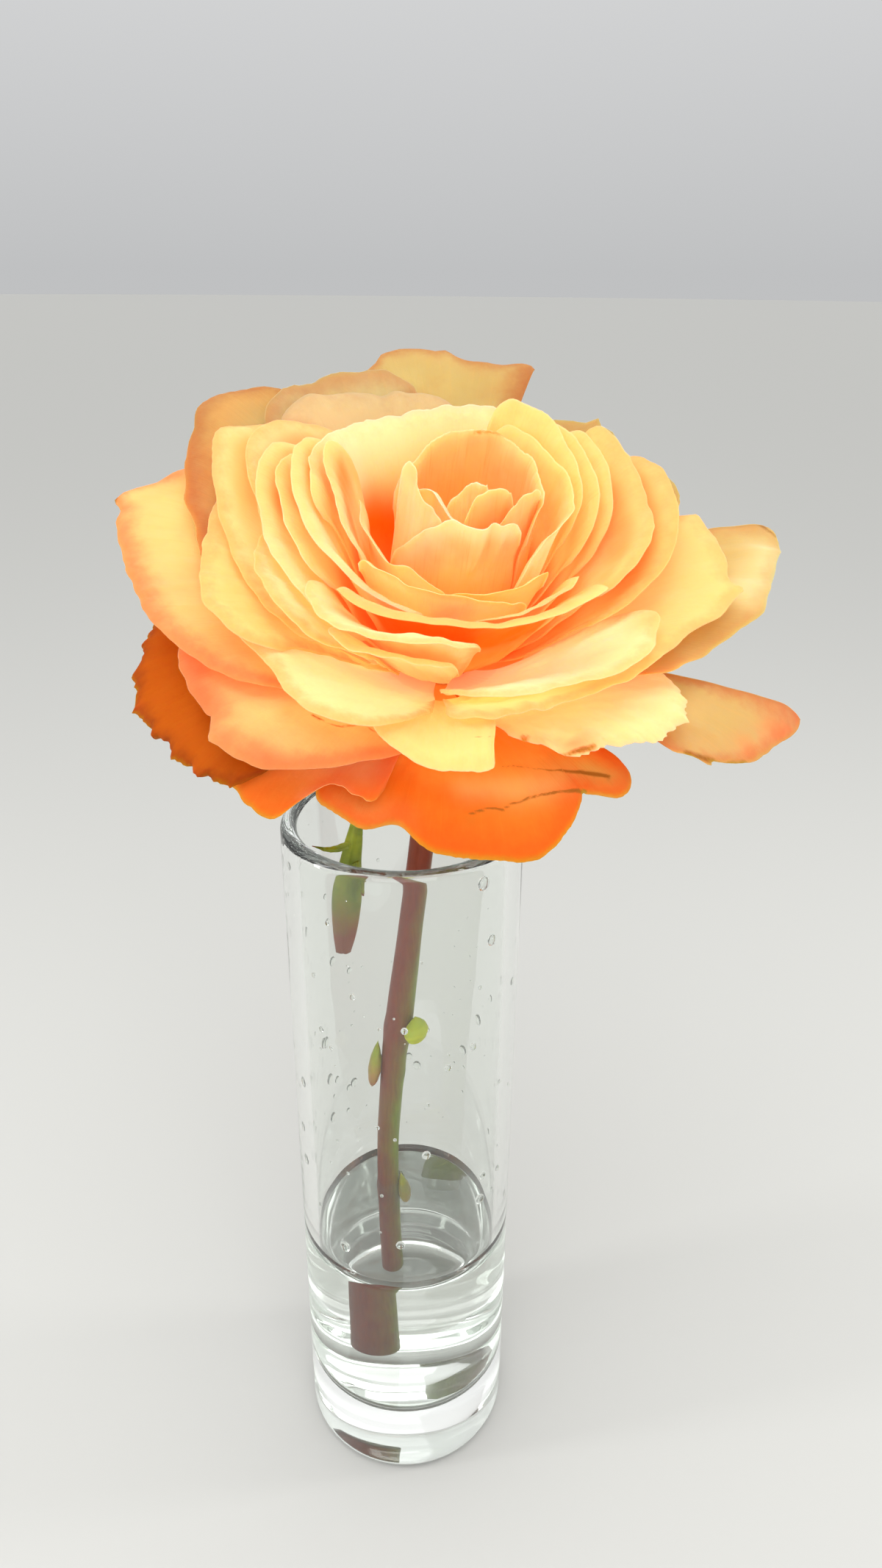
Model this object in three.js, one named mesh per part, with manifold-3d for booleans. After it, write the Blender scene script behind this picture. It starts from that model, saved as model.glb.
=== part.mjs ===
// A cut rose, fully blown, standing in a clear cylinder bud vase with some water in it.
// Millimetres, +Z up. The origin is the middle of the vase's flat foot, and the bloom
// nods toward -Y. Angles round the bloom are in degrees: 0 faces -Y and 90 faces +X.
import * as THREE from 'three';
import { mergeVertices } from 'three/addons/utils/BufferGeometryUtils.js';
import Module from 'manifold-3d';

const wasm = await Module();
wasm.setup();

// ---- driving dimensions -------------------------------------------------------------

// vase: a pressed cylinder with a thick foot
const VASE_RADIUS = 22;
const VASE_HEIGHT = 152;
const VASE_WALL = 3;
const VASE_FOOT_THICKNESS = 16;
const VASE_HEEL_RADIUS = 3;
const VASE_FLOOR_CORNER = 4.5;
const VASE_SIDES = 40;

// water
const WATER_LEVEL = 56;
const WATER_GAP = 0.3;

// stem: centre line from the cut end up to its neck, which then meets the hip squarely,
// with the radius at each point
const STEM_LINE = [
  [-3.6, 8.4, 16.4],
  [-4.1, 8.9, 40],
  [-4.3, 9.6, 66],
  [-2.9, 10.7, 88],
  [-1.6, 11.4, 99],
  [0.9, 12.9, 120],
  [3.1, 14.5, 138],
  [4.5, 15.5, 152],
  [5.0, 16.5, 158.5],
];
const STEM_TOP_GAP = 0.35;
const STEM_RADII = [2.6, 2.5, 2.4, 2.7, 3.0, 2.6, 2.5, 2.5, 2.5, 2.6];
const STEM_SIDES = 10;
const STEM_STEPS = 20;

// side buds on the stem: height, angle round the stem, length and width
const STEM_BUDS = [
  { name: 'stem_bud_upper', height: 98, around: 62, length: 6.4, width: 4.6 },
  { name: 'stem_bud_middle', height: 85, around: 272, length: 9.5, width: 3.6 },
  { name: 'stem_bud_lower', height: 51, around: 80, length: 8.4, width: 3.8 },
];
const STEM_BUD_GAP = 0.2;

// bloom: where the petals spring from, and how the head is tipped
const BLOOM_SEAT = [7, 8, 180];
const BLOOM_NOD = 28;
const BLOOM_LEAN = 5;

// receptacle cone that the petals are seated on
const SEAT_INNER_RADIUS = 1.2;
const SEAT_SPREAD = 6.0;
const SEAT_TOP = 3.0;
const SEAT_DROP = 6.0;
const SEAT_GAP = 0.3;
const HIP_LENGTH = 16;
const HIP_RADIUS = 7.1;
const HIP_NECK_RADIUS = 2.7;

// Petals lie on nested bowls. A bowl's layer runs from 0, the upright heart, to 1, the
// outermost hanging petals. Each row gives the angle from the bloom's axis, in degrees,
// every 10 mm along a petal from its seat, for layers 0, 0.2, 0.4, 0.6, 0.8 and 1.
const BOWL_STEP = 10;
const LAYER_STEP = 0.2;
const BOWL_ANGLES = [
  [46, 20, -4, -8, -10, -10, -10],
  [50, 28, 8, 4, 10, 18, 25],
  [54, 34, 20, 20, 30, 45, 55],
  [60, 42, 33, 36, 48, 64, 80],
  [68, 52, 46, 52, 66, 84, 102],
  [78, 68, 64, 78, 104, 134, 150],
];

const PETAL_THICKNESS = 0.3;
const PETAL_SEAT_THICKNESS = 0.15;
const PETAL_ROWS = 5;
const PETAL_COLUMN_ANGLE = 14;

// Each petal: its layer, the angles round the bloom that its margin runs between, and its
// length at the margin's two ends and three points between, from first angle to last.
// A point is a narrow tip on the margin: where, from -1 to 1, how long and how wide.
const PETALS = [
  { name: 'petal_heart_a', layer: -0.72, from: 300, to: 470, lengths: [29, 32, 33, 32, 30] },
  { name: 'petal_heart_b', layer: -0.45, from: 170, to: 330, lengths: [32, 35, 36, 35, 31] },
  { name: 'petal_heart_c', layer: -0.22, from: 325, to: 440, lengths: [30, 32, 33, 34, 30] },
  { name: 'petal_core_front', layer: 0.06, from: 298, to: 388, lengths: [28, 33.5, 35.5, 36, 34] },
  { name: 'petal_core_right', layer: 0.105, from: 372, to: 442, lengths: [33, 37, 37.5, 37, 34] },
  { name: 'petal_core_left', layer: 0.125, from: 235, to: 312, lengths: [33, 36, 35, 33, 30] },
  { name: 'petal_core_back', layer: 0.155, from: 55, to: 240, lengths: [37, 38, 38, 37, 31] },
  { name: 'petal_a_right', layer: 0.265, from: 32, to: 165, lengths: [33, 38, 38, 38, 39] },
  { name: 'petal_a_left', layer: 0.275, from: 275, to: 357, lengths: [37, 36, 33.5, 32, 30] },
  { name: 'petal_a_front', layer: 0.325, from: 348, to: 420, lengths: [32, 34, 35, 34, 31] },
  { name: 'petal_b_right', layer: 0.34, from: 92, to: 168, lengths: [33, 38, 40.5, 41.5, 42] },
  { name: 'petal_b_left', layer: 0.345, from: 250, to: 308, lengths: [42, 43, 42, 40, 37] },
  { name: 'petal_b_front', layer: 0.375, from: 310, to: 396, lengths: [38, 37, 36, 35, 32] },
  { name: 'petal_c_back', layer: 0.39, from: 146, to: 292, lengths: [41, 39, 39, 42, 44] },
  { name: 'petal_c_right', layer: 0.42, from: 85, to: 162, lengths: [32, 37, 39.5, 40.5, 41] },
  { name: 'petal_c_front', layer: 0.43, from: 362, to: 422, lengths: [33, 35.5, 36, 36, 35] },
  { name: 'petal_d_left', layer: 0.46, from: 234, to: 302, lengths: [39, 42, 43, 43, 40] },
  { name: 'petal_d_front', layer: 0.475, from: 316, to: 412, lengths: [41, 42, 38, 39, 40] },
  { name: 'petal_d_right', layer: 0.49, from: 88, to: 142, lengths: [31, 36, 39, 41, 42] },
  { name: 'petal_e_left', layer: 0.51, from: 246, to: 304, lengths: [40, 42, 41, 39, 37] },
  { name: 'petal_e_low', layer: 0.545, from: 300, to: 372, lengths: [41, 44, 43, 41, 38] },
  { name: 'petal_e_right', layer: 0.56, from: 66, to: 138, lengths: [37, 40, 41, 42.5, 44] },
  { name: 'petal_f_left', layer: 0.575, from: 230, to: 316, lengths: [38, 43.5, 42.5, 38, 34] },
  { name: 'petal_f_low', layer: 0.6, from: 318, to: 360, lengths: [40, 40, 40, 38, 37] },
  { name: 'petal_f_right', layer: 0.64, from: 62, to: 128, lengths: [33, 39.5, 43, 45, 45] },
  { name: 'petal_g_left', layer: 0.635, from: 214, to: 292, lengths: [37, 42, 45.5, 42.5, 36] },
  { name: 'petal_g_back', layer: 0.675, from: 170, to: 234, lengths: [40, 43, 43, 45, 43] },
  { name: 'petal_h_left', layer: 0.7, from: 224, to: 312, lengths: [44, 49, 44, 40, 37] },
  { name: 'petal_h_front', layer: 0.7, from: 355, to: 420, lengths: [33, 38, 38, 41, 41] },
  { name: 'petal_back_right', layer: 0.725, from: 104, to: 158, lengths: [44, 45.5, 43.5, 46, 42] },
  { name: 'petal_i_left', layer: 0.745, from: 254, to: 308, lengths: [43, 44, 44, 46, 43] },
  { name: 'petal_back_inner', layer: 0.75, from: 190, to: 236, lengths: [48, 49, 49, 49, 48] },
  { name: 'petal_i_low', layer: 0.775, from: 298, to: 354, lengths: [44, 44, 45, 48, 42] },
  { name: 'petal_i_right', layer: 0.77, from: 34, to: 100, lengths: [36, 39, 43, 48, 44] },
  { name: 'petal_back_left', layer: 0.79, from: 204, to: 287, lengths: [47, 54.5, 53, 46, 40] },
  { name: 'petal_front_square', layer: 0.81, from: 336, to: 369, lengths: [38, 43, 46, 47.5, 45] },
  { name: 'petal_back_top', layer: 0.81, from: 157, to: 206, lengths: [52, 56, 55.5, 56, 50] },
  { name: 'petal_right_pale', layer: 0.825, from: 54, to: 110, lengths: [41, 46, 50, 54, 58] },
  {
    name: 'petal_left_pointed', layer: 0.845, from: 240, to: 321,
    lengths: [46, 55, 51, 44, 36], point: { at: -0.53, length: 3.5, width: 0.08 },
  },
  { name: 'petal_right_ragged', layer: 0.865, from: 14, to: 64, lengths: [36, 38, 43, 48, 42] },
  { name: 'petal_back_low_right', layer: 0.875, from: 120, to: 186, lengths: [40, 45, 46, 45, 40] },
  { name: 'petal_left_low', layer: 0.885, from: 287, to: 353, lengths: [43, 46, 49.4, 42, 33] },
  { name: 'petal_back_low_left', layer: 0.9, from: 190, to: 256, lengths: [40, 45, 46, 45, 40] },
  { name: 'petal_right_low', layer: 0.91, from: 46, to: 71, lengths: [49, 52, 54, 57, 58] },
  { name: 'petal_left_burnt', layer: 0.945, from: 268, to: 328, lengths: [39, 47.5, 51, 49.5, 43] },
  { name: 'petal_front_left', layer: 0.97, from: 302, to: 346, lengths: [40, 42, 44.5, 38, 34] },
  {
    name: 'petal_front_hanging', layer: 1.0, from: 330, to: 409,
    lengths: [35, 38, 42.5, 38, 34], point: { at: 0.74, length: 3.5, width: 0.14 },
  },
];

// sepals: angle round the hip, length, width, and how far each swings out before it hangs
const SEPAL_SEAT_RADIUS = 6.6;
const SEPAL_SEAT_HEIGHT = -4.6;
const SEPAL_THICKNESS = 0.7;
const SEPALS = [
  { name: 'sepal_right', around: 65, length: 25, width: 6 },
  { name: 'sepal_back_right', around: 135, length: 23, width: 6.5 },
  { name: 'sepal_back_left', around: 205, length: 24, width: 6 },
  { name: 'sepal_left', around: 275, length: 22, width: 5.5 },
];
// the long one hangs down inside the mouth of the vase: its centre line and half widths
const LONG_SEPAL_LINE = [
  [2.2, 5.5, 173.6],
  [-2.4, 1.0, 172.4],
  [-6.0, -1.8, 164.5],
  [-8.0, -3.0, 152],
  [-9.6, -4.4, 141],
  [-10.8, -6.0, 130],
];
const LONG_SEPAL_HALF_WIDTHS = [2.0, 2.6, 2.2, 2.0, 3.0, 1.6];

// ---- small tools --------------------------------------------------------------------

const rad = THREE.MathUtils.degToRad;
const smooth = (x) => THREE.MathUtils.smoothstep(x, 0, 1);

function curveThrough(a, b, c, d, t) {
  const bend = 2 * a - 5 * b + 4 * c - d;
  const twist = 3 * (b - c) + d - a;
  return b + 0.5 * t * (c - a + t * (bend + t * twist));
}

function sample(values, x) {
  const last = values.length - 1;
  const place = THREE.MathUtils.clamp(x, 0, last);
  const i = Math.min(Math.floor(place), last - 1);
  const before = values[Math.max(i - 1, 0)];
  const after = values[Math.min(i + 2, last)];
  return curveThrough(before, values[i], values[i + 1], after, place - i);
}

function material(colour, roughness, metalness = 0) {
  return new THREE.MeshStandardMaterial({ color: colour, roughness, metalness });
}

const petalPale = material('#ffdc94', 0.6);
const petalPeach = material('#ffbf7d', 0.6);
const petalOrange = material('#f08a3c', 0.6);
const green = material('#6f7d24', 0.7);
const bark = material('#7a4f33', 0.7);
const glass = material('#e8f0ee', 0.05);
const water = material('#dfe9e6', 0.03);

function toSolid(geometry) {
  const plain = new THREE.BufferGeometry();
  plain.setAttribute('position', geometry.getAttribute('position').clone());
  if (geometry.index) plain.setIndex(geometry.index.clone());
  const merged = mergeVertices(plain, 1e-4);
  return new wasm.Manifold(new wasm.Mesh({
    numProp: 3,
    vertProperties: Float32Array.from(merged.getAttribute('position').array),
    triVerts: Uint32Array.from(merged.index.array),
  }));
}

function fromSolid(solid) {
  const mesh = solid.getMesh();
  const geometry = new THREE.BufferGeometry();
  geometry.setAttribute('position', new THREE.BufferAttribute(mesh.vertProperties, 3));
  geometry.setIndex(new THREE.BufferAttribute(mesh.triVerts, 1));
  return geometry;
}

// A turned solid standing on the Z axis, from a profile of radius and height.
function turned(profile, sides) {
  return new THREE.LatheGeometry(profile, sides).rotateX(Math.PI / 2);
}

// A closed skin from two matching grids of points, outer[i][j] and inner[i][j].
function closedSheet(outer, inner) {
  const columns = outer.length;
  const rows = outer[0].length;
  const points = [];
  for (const grid of [outer, inner]) {
    for (const line of grid) {
      for (const p of line) points.push(p.x, p.y, p.z);
    }
  }
  const half = columns * rows;
  const at = (side, i, j) => side * half + i * rows + j;
  const faces = [];
  const quad = (a, b, c, d) => faces.push(a, b, c, a, c, d);
  for (let i = 0; i < columns - 1; i += 1) {
    for (let j = 0; j < rows - 1; j += 1) {
      quad(at(0, i, j), at(0, i + 1, j), at(0, i + 1, j + 1), at(0, i, j + 1));
      quad(at(1, i, j), at(1, i, j + 1), at(1, i + 1, j + 1), at(1, i + 1, j));
    }
  }
  for (let i = 0; i < columns - 1; i += 1) {
    quad(at(0, i, 0), at(1, i, 0), at(1, i + 1, 0), at(0, i + 1, 0));
    const top = rows - 1;
    quad(at(0, i, top), at(0, i + 1, top), at(1, i + 1, top), at(1, i, top));
  }
  for (let j = 0; j < rows - 1; j += 1) {
    quad(at(0, 0, j), at(0, 0, j + 1), at(1, 0, j + 1), at(1, 0, j));
    const end = columns - 1;
    quad(at(0, end, j), at(1, end, j), at(1, end, j + 1), at(0, end, j + 1));
  }
  const geometry = new THREE.BufferGeometry();
  geometry.setAttribute('position', new THREE.Float32BufferAttribute(points, 3));
  geometry.setIndex(faces);
  return geometry;
}

// ---- how the head of the rose stands: its own right, back and up --------------------

const headUp = new THREE.Vector3(
  Math.sin(rad(BLOOM_LEAN)),
  -Math.sin(rad(BLOOM_NOD)) * Math.cos(rad(BLOOM_LEAN)),
  Math.cos(rad(BLOOM_NOD)) * Math.cos(rad(BLOOM_LEAN)),
);
const headBack = new THREE.Vector3(0, Math.cos(rad(BLOOM_NOD)), Math.sin(rad(BLOOM_NOD)));
const headRight = new THREE.Vector3().crossVectors(headBack, headUp);
const headSeat = new THREE.Vector3(...BLOOM_SEAT);
const hipEnd = SEAT_TOP - SEAT_DROP - HIP_LENGTH + 3;

// ---- petals -------------------------------------------------------------------------

function bowlAngle(layer, length) {
  const column = BOWL_ANGLES.map((row) => sample(row, length / BOWL_STEP));
  return rad(sample(column, layer / LAYER_STEP));
}

// The line of one bowl, from its seat outward: radius, height and angle every half mm.
function bowlLine(layer, longest) {
  const step = 0.5;
  const onAxis = Math.max(layer, 0);
  const squeeze = 1 + Math.min(layer, 0);
  let radius = SEAT_INNER_RADIUS + SEAT_SPREAD * onAxis;
  let height = SEAT_TOP - SEAT_DROP * onAxis ** 1.3;
  const line = [];
  for (let length = 0; length <= longest + step; length += step) {
    const angle = bowlAngle(onAxis, length);
    line.push({ radius: radius * squeeze, height, angle });
    const mid = bowlAngle(onAxis, length + step / 2);
    radius += step * Math.sin(mid);
    height += step * Math.cos(mid);
  }
  return (length) => {
    const i = Math.min(Math.floor(length / step), line.length - 2);
    const t = length / step - i;
    const mix = (key) => line[i][key] + t * (line[i + 1][key] - line[i][key]);
    return { radius: mix('radius'), height: mix('height'), angle: mix('angle') };
  };
}

function petalGeometry({ layer, from, to, lengths, point }) {
  const turn = (from + to) / 2;
  const half = (to - from) / 2;
  const columns = Math.max(4, Math.round((to - from) / PETAL_COLUMN_ANGLE));
  const bowl = bowlLine(layer, 64);
  const seatHalf = Math.min(half, 20 + 18 * (1 - Math.max(layer, 0)));
  const narrow = seatHalf / half;
  const outer = [];
  const inner = [];
  for (let i = 0; i <= columns; i += 1) {
    const u = -1 + (2 * i) / columns;
    let margin = sample(lengths, (u + 1) * 2) * (1 - 0.1 * Math.abs(u) ** 8);
    if (point) margin += point.length * Math.exp(-(((u - point.at) / point.width) ** 2));
    const outerLine = [];
    const innerLine = [];
    for (let j = 0; j <= PETAL_ROWS; j += 1) {
      const v = j / PETAL_ROWS;
      const { radius, height, angle } = bowl(margin * v);
      const spread = narrow + (1 - narrow) * smooth(v / 0.62);
      const around = rad(turn + half * u * spread);
      const growth = smooth(v / 0.4);
      const extra = PETAL_THICKNESS - PETAL_SEAT_THICKNESS;
      const offset = (PETAL_SEAT_THICKNESS + extra * growth) / 2;
      for (const [side, line] of [[1, outerLine], [-1, innerLine]]) {
        const r = radius + side * offset * Math.cos(angle);
        const z = height - side * offset * Math.sin(angle);
        line.push(new THREE.Vector3(r * Math.sin(around), -r * Math.cos(around), z));
      }
    }
    outer.push(outerLine);
    inner.push(innerLine);
  }
  return closedSheet(outer, inner);
}

function petalMaterial({ layer, name }) {
  if (name.includes('hanging') || name.includes('burnt')) return petalOrange;
  if (name.includes('front_left')) return petalOrange;
  return layer > 0.83 || layer < 0.12 ? petalPeach : petalPale;
}

// ---- hip and sepals -----------------------------------------------------------------

function hipGeometry() {
  const profile = [new THREE.Vector2(0, SEAT_TOP - SEAT_GAP - 0.15)];
  for (const layer of [0.02, 0.25, 0.5, 0.75, 1]) {
    const r = SEAT_INNER_RADIUS + SEAT_SPREAD * layer - 0.3;
    profile.push(new THREE.Vector2(r, SEAT_TOP - SEAT_DROP * layer ** 1.3 - SEAT_GAP));
  }
  const low = SEAT_TOP - SEAT_DROP;
  profile.push(new THREE.Vector2(HIP_RADIUS - 0.4, low - 1.2));
  profile.push(new THREE.Vector2(HIP_RADIUS - 1.4, low - 2.6));
  profile.push(new THREE.Vector2(HIP_RADIUS - 1.1, low - 5));
  profile.push(new THREE.Vector2(HIP_RADIUS - 1.6, low - 8.5));
  profile.push(new THREE.Vector2(HIP_RADIUS - 3.2, low - 11.5));
  profile.push(new THREE.Vector2(HIP_NECK_RADIUS, hipEnd));
  profile.push(new THREE.Vector2(0, hipEnd));
  return turned(profile.reverse(), 20);
}

// A leaf-like strip along a centre line, with its faces turned to the given side.
function stripGeometry(line, halfWidths, across, thickness) {
  const curve = new THREE.CatmullRomCurve3(line);
  const steps = 10;
  const upper = [];
  const lower = [];
  for (let i = 0; i <= 4; i += 1) {
    upper.push([]);
    lower.push([]);
  }
  for (let j = 0; j <= steps; j += 1) {
    const t = j / steps;
    const centre = curve.getPoint(t);
    const along = curve.getTangent(t);
    const side = across.clone().addScaledVector(along, -across.dot(along)).normalize();
    const face = new THREE.Vector3().crossVectors(side, along).normalize();
    const half = sample(halfWidths, t * (halfWidths.length - 1));
    for (let i = 0; i <= 4; i += 1) {
      const u = -1 + i / 2;
      const cup = 0.28 * half * u * u;
      const depth = (thickness / 2) * (1 - 0.55 * u * u);
      const place = centre.clone().addScaledVector(side, half * u).addScaledVector(face, cup);
      upper[i].push(place.clone().addScaledVector(face, depth));
      lower[i].push(place.clone().addScaledVector(face, -depth));
    }
  }
  return closedSheet(upper, lower);
}

function sepalGeometry({ around, length, width }) {
  const turn = rad(around);
  const out = new THREE.Vector3(Math.sin(turn), -Math.cos(turn), 0);
  const across = new THREE.Vector3(Math.cos(turn), Math.sin(turn), 0);
  const spot = (radius, height) => out.clone().multiplyScalar(radius).setZ(height);
  const line = [
    spot(SEPAL_SEAT_RADIUS, SEPAL_SEAT_HEIGHT),
    spot(SEPAL_SEAT_RADIUS + 4.0, SEPAL_SEAT_HEIGHT - 1.2),
    spot(SEPAL_SEAT_RADIUS + 6.2, SEPAL_SEAT_HEIGHT - 0.3 * length),
    spot(SEPAL_SEAT_RADIUS + 6.0, SEPAL_SEAT_HEIGHT - 0.6 * length),
    spot(SEPAL_SEAT_RADIUS + 6.6, SEPAL_SEAT_HEIGHT - 0.8 * length),
  ];
  const half = width / 2;
  const widths = [0.7 * half, half, 0.8 * half, 0.4 * half, 0.12 * half];
  return stripGeometry(line, widths, across, SEPAL_THICKNESS);
}

// ---- stem ---------------------------------------------------------------------------

const stemTop = headSeat.clone().addScaledVector(headUp, hipEnd - STEM_TOP_GAP);
const stemCurve = new THREE.CatmullRomCurve3([
  ...STEM_LINE.map((p) => new THREE.Vector3(...p)),
  stemTop,
]);

function stemRadius(t) {
  return sample(STEM_RADII, t * (STEM_RADII.length - 1));
}

// A round solid along the stem's centre line, grown by a clearance.
function stemGeometry(extra = 0, endExtra = 0) {
  const points = [];
  for (let j = 0; j <= STEM_STEPS; j += 1) {
    const t = j / STEM_STEPS;
    const centre = stemCurve.getPoint(t);
    let along = stemCurve.getTangent(t);
    if (j === 0) along = new THREE.Vector3(0, 0, 1);
    if (j === STEM_STEPS) along = headUp.clone();
    if (j === 0) centre.z -= endExtra;
    const across = new THREE.Vector3(1, 0, 0).addScaledVector(along, -along.x).normalize();
    const other = new THREE.Vector3().crossVectors(along, across);
    const radius = stemRadius(t) + extra;
    for (let i = 0; i < STEM_SIDES; i += 1) {
      const a = (2 * Math.PI * i) / STEM_SIDES;
      const p = centre.clone().addScaledVector(across, radius * Math.cos(a));
      points.push(...p.addScaledVector(other, radius * Math.sin(a)));
    }
  }
  const faces = [];
  for (let j = 0; j < STEM_STEPS; j += 1) {
    for (let i = 0; i < STEM_SIDES; i += 1) {
      const a = j * STEM_SIDES + i;
      const b = j * STEM_SIDES + ((i + 1) % STEM_SIDES);
      faces.push(a, b, b + STEM_SIDES, a, b + STEM_SIDES, a + STEM_SIDES);
    }
  }
  const last = STEM_STEPS * STEM_SIDES;
  for (let i = 1; i < STEM_SIDES - 1; i += 1) {
    faces.push(0, i + 1, i);
    faces.push(last, last + i, last + i + 1);
  }
  const geometry = new THREE.BufferGeometry();
  geometry.setAttribute('position', new THREE.Float32BufferAttribute(points, 3));
  geometry.setIndex(faces);
  return geometry;
}

function stemAtHeight(height) {
  let low = 0;
  let high = 1;
  for (let k = 0; k < 30; k += 1) {
    const mid = (low + high) / 2;
    if (stemCurve.getPoint(mid).z < height) low = mid;
    else high = mid;
  }
  return low;
}

// A scale-covered bud, like a grain of wheat, standing just off the bark.
function stemBudMesh({ name, height, around, length, width }, extra = 0) {
  const t = stemAtHeight(height);
  const turn = rad(around);
  const profile = [
    [0, 0], [0.34, 0.05], [0.5, 0.25], [0.46, 0.5], [0.28, 0.78], [0.1, 0.95], [0, 1],
  ];
  const grow = 1 + (2 * extra) / length;
  const points = profile.map(([r, z]) => {
    const out = r === 0 ? 0 : r * width + extra;
    return new THREE.Vector2(out, (z - 0.4) * length * grow);
  });
  const mesh = new THREE.Mesh(turned(points, 10), green);
  mesh.name = name;
  const out = new THREE.Vector3(Math.sin(turn), -Math.cos(turn), 0);
  const reach = stemRadius(t) + STEM_BUD_GAP + width / 2;
  mesh.position.copy(stemCurve.getPoint(t)).addScaledVector(out, reach);
  mesh.quaternion.setFromAxisAngle(new THREE.Vector3(Math.cos(turn), Math.sin(turn), 0), -0.16);
  return mesh;
}

// ---- vase and water -----------------------------------------------------------------

function arc(cx, cy, radius, fromDegrees, toDegrees, steps) {
  const points = [];
  for (let i = 0; i <= steps; i += 1) {
    const a = rad(fromDegrees + ((toDegrees - fromDegrees) * i) / steps);
    points.push(new THREE.Vector2(cx + radius * Math.cos(a), cy + radius * Math.sin(a)));
  }
  return points;
}

function vaseGeometry() {
  const inside = VASE_RADIUS - VASE_WALL;
  const lip = VASE_WALL / 2;
  const corner = VASE_FLOOR_CORNER;
  const heel = VASE_HEEL_RADIUS;
  const profile = [
    new THREE.Vector2(0, 0),
    ...arc(VASE_RADIUS - heel, heel, heel, -90, 0, 3),
    ...arc(VASE_RADIUS - lip, VASE_HEIGHT - lip, lip, 0, 180, 5),
    ...arc(inside - corner, VASE_FOOT_THICKNESS + corner, corner, 0, -90, 4),
    new THREE.Vector2(0, VASE_FOOT_THICKNESS),
  ];
  return turned(profile, VASE_SIDES);
}

function waterGeometry() {
  const inside = VASE_RADIUS - VASE_WALL - WATER_GAP;
  const corner = VASE_FLOOR_CORNER;
  const floor = VASE_FOOT_THICKNESS + WATER_GAP;
  const profile = [
    new THREE.Vector2(0, floor),
    ...arc(inside - corner, floor + corner, corner, -90, 0, 4),
    new THREE.Vector2(inside, WATER_LEVEL),
    new THREE.Vector2(0, WATER_LEVEL),
  ];
  const body = toSolid(turned(profile, VASE_SIDES));
  let room = toSolid(stemGeometry(WATER_GAP, 2));
  for (const bud of STEM_BUDS) {
    if (bud.height > WATER_LEVEL) continue;
    const mesh = stemBudMesh(bud, WATER_GAP);
    mesh.updateMatrixWorld();
    room = room.add(toSolid(mesh.geometry.applyMatrix4(mesh.matrixWorld)));
  }
  return fromSolid(body.subtract(room));
}

// ---- the whole thing ----------------------------------------------------------------

const rose = new THREE.Group();

function add(parent, name, geometry, look) {
  const mesh = new THREE.Mesh(geometry, look);
  mesh.name = name;
  parent.add(mesh);
  return mesh;
}

add(rose, 'vase', vaseGeometry(), glass);
add(rose, 'water', waterGeometry(), water);
add(rose, 'stem', stemGeometry(), bark);
for (const bud of STEM_BUDS) rose.add(stemBudMesh(bud));

// head of the rose, tipped toward -Y by the nod and toward +X by the lean
const head = new THREE.Group();
const headTurn = new THREE.Matrix4().makeBasis(headRight, headBack, headUp);
head.quaternion.setFromRotationMatrix(headTurn);
head.position.copy(headSeat);
rose.add(head);

add(head, 'hip', hipGeometry(), green);
for (const petal of PETALS) add(head, petal.name, petalGeometry(petal), petalMaterial(petal));
for (const sepal of SEPALS) add(head, sepal.name, sepalGeometry(sepal), green);
add(
  rose,
  'sepal_long',
  stripGeometry(
    LONG_SEPAL_LINE.map((p) => new THREE.Vector3(...p)),
    LONG_SEPAL_HALF_WIDTHS,
    new THREE.Vector3(1, 0.15, 0),
    SEPAL_THICKNESS,
  ),
  green,
);

export default rose;
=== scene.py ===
# A cut rose, fully blown, standing in a clear glass bud vase with a little water in it.
# Metres in Blender; sizes are written in millimetres and multiplied by MM. The bloom nods
# toward -Y, and angles round it are in degrees: 0 faces -Y and 90 faces +X.
import math

import bpy
import numpy as np
from mathutils import Matrix, Vector


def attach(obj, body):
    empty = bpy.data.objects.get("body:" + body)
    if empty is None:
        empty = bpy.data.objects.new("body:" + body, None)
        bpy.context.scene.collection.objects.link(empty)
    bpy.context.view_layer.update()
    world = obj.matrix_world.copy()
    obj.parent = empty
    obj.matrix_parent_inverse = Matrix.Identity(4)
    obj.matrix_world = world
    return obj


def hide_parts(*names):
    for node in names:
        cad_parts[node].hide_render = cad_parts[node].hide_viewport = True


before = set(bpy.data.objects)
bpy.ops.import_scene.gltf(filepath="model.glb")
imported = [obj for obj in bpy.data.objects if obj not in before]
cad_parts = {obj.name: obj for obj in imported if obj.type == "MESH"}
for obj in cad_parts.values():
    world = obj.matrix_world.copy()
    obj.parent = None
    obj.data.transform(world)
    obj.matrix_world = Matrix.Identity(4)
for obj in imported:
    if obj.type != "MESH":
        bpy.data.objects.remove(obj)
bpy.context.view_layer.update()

# ---- camera, floor and light --------------------------------------------------------
# A small studio table: one pale painted board under the vase, a large softbox above, a
# window of light in front, and two tall strip lights that draw lines down the glass.

MM = 0.001
CAMERA_PLACE = (6.9, -175.0, 241.0)
CAMERA_PITCH = 25.3
CAMERA_ROLL = 0.5
CAMERA_LENS = 24.96
FLOOR_RADIUS = 12000.0
FLOOR_SIDES = 64
GLASS_BOUNCES = 48  # light crosses the glass, the water and the droplets many times
PETAL_BOUNCES = 16  # and goes from petal to petal before it is spent
STUDIO_BRIGHTNESS = 1.15


def linear(code):
    """A linear colour from an sRGB hex value."""
    parts = [int(code[i : i + 2], 16) / 255 for i in (1, 3, 5)]
    low = [c / 12.92 if c <= 0.04045 else ((c + 0.055) / 1.055) ** 2.4 for c in parts]
    return (*low, 1.0)


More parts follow.
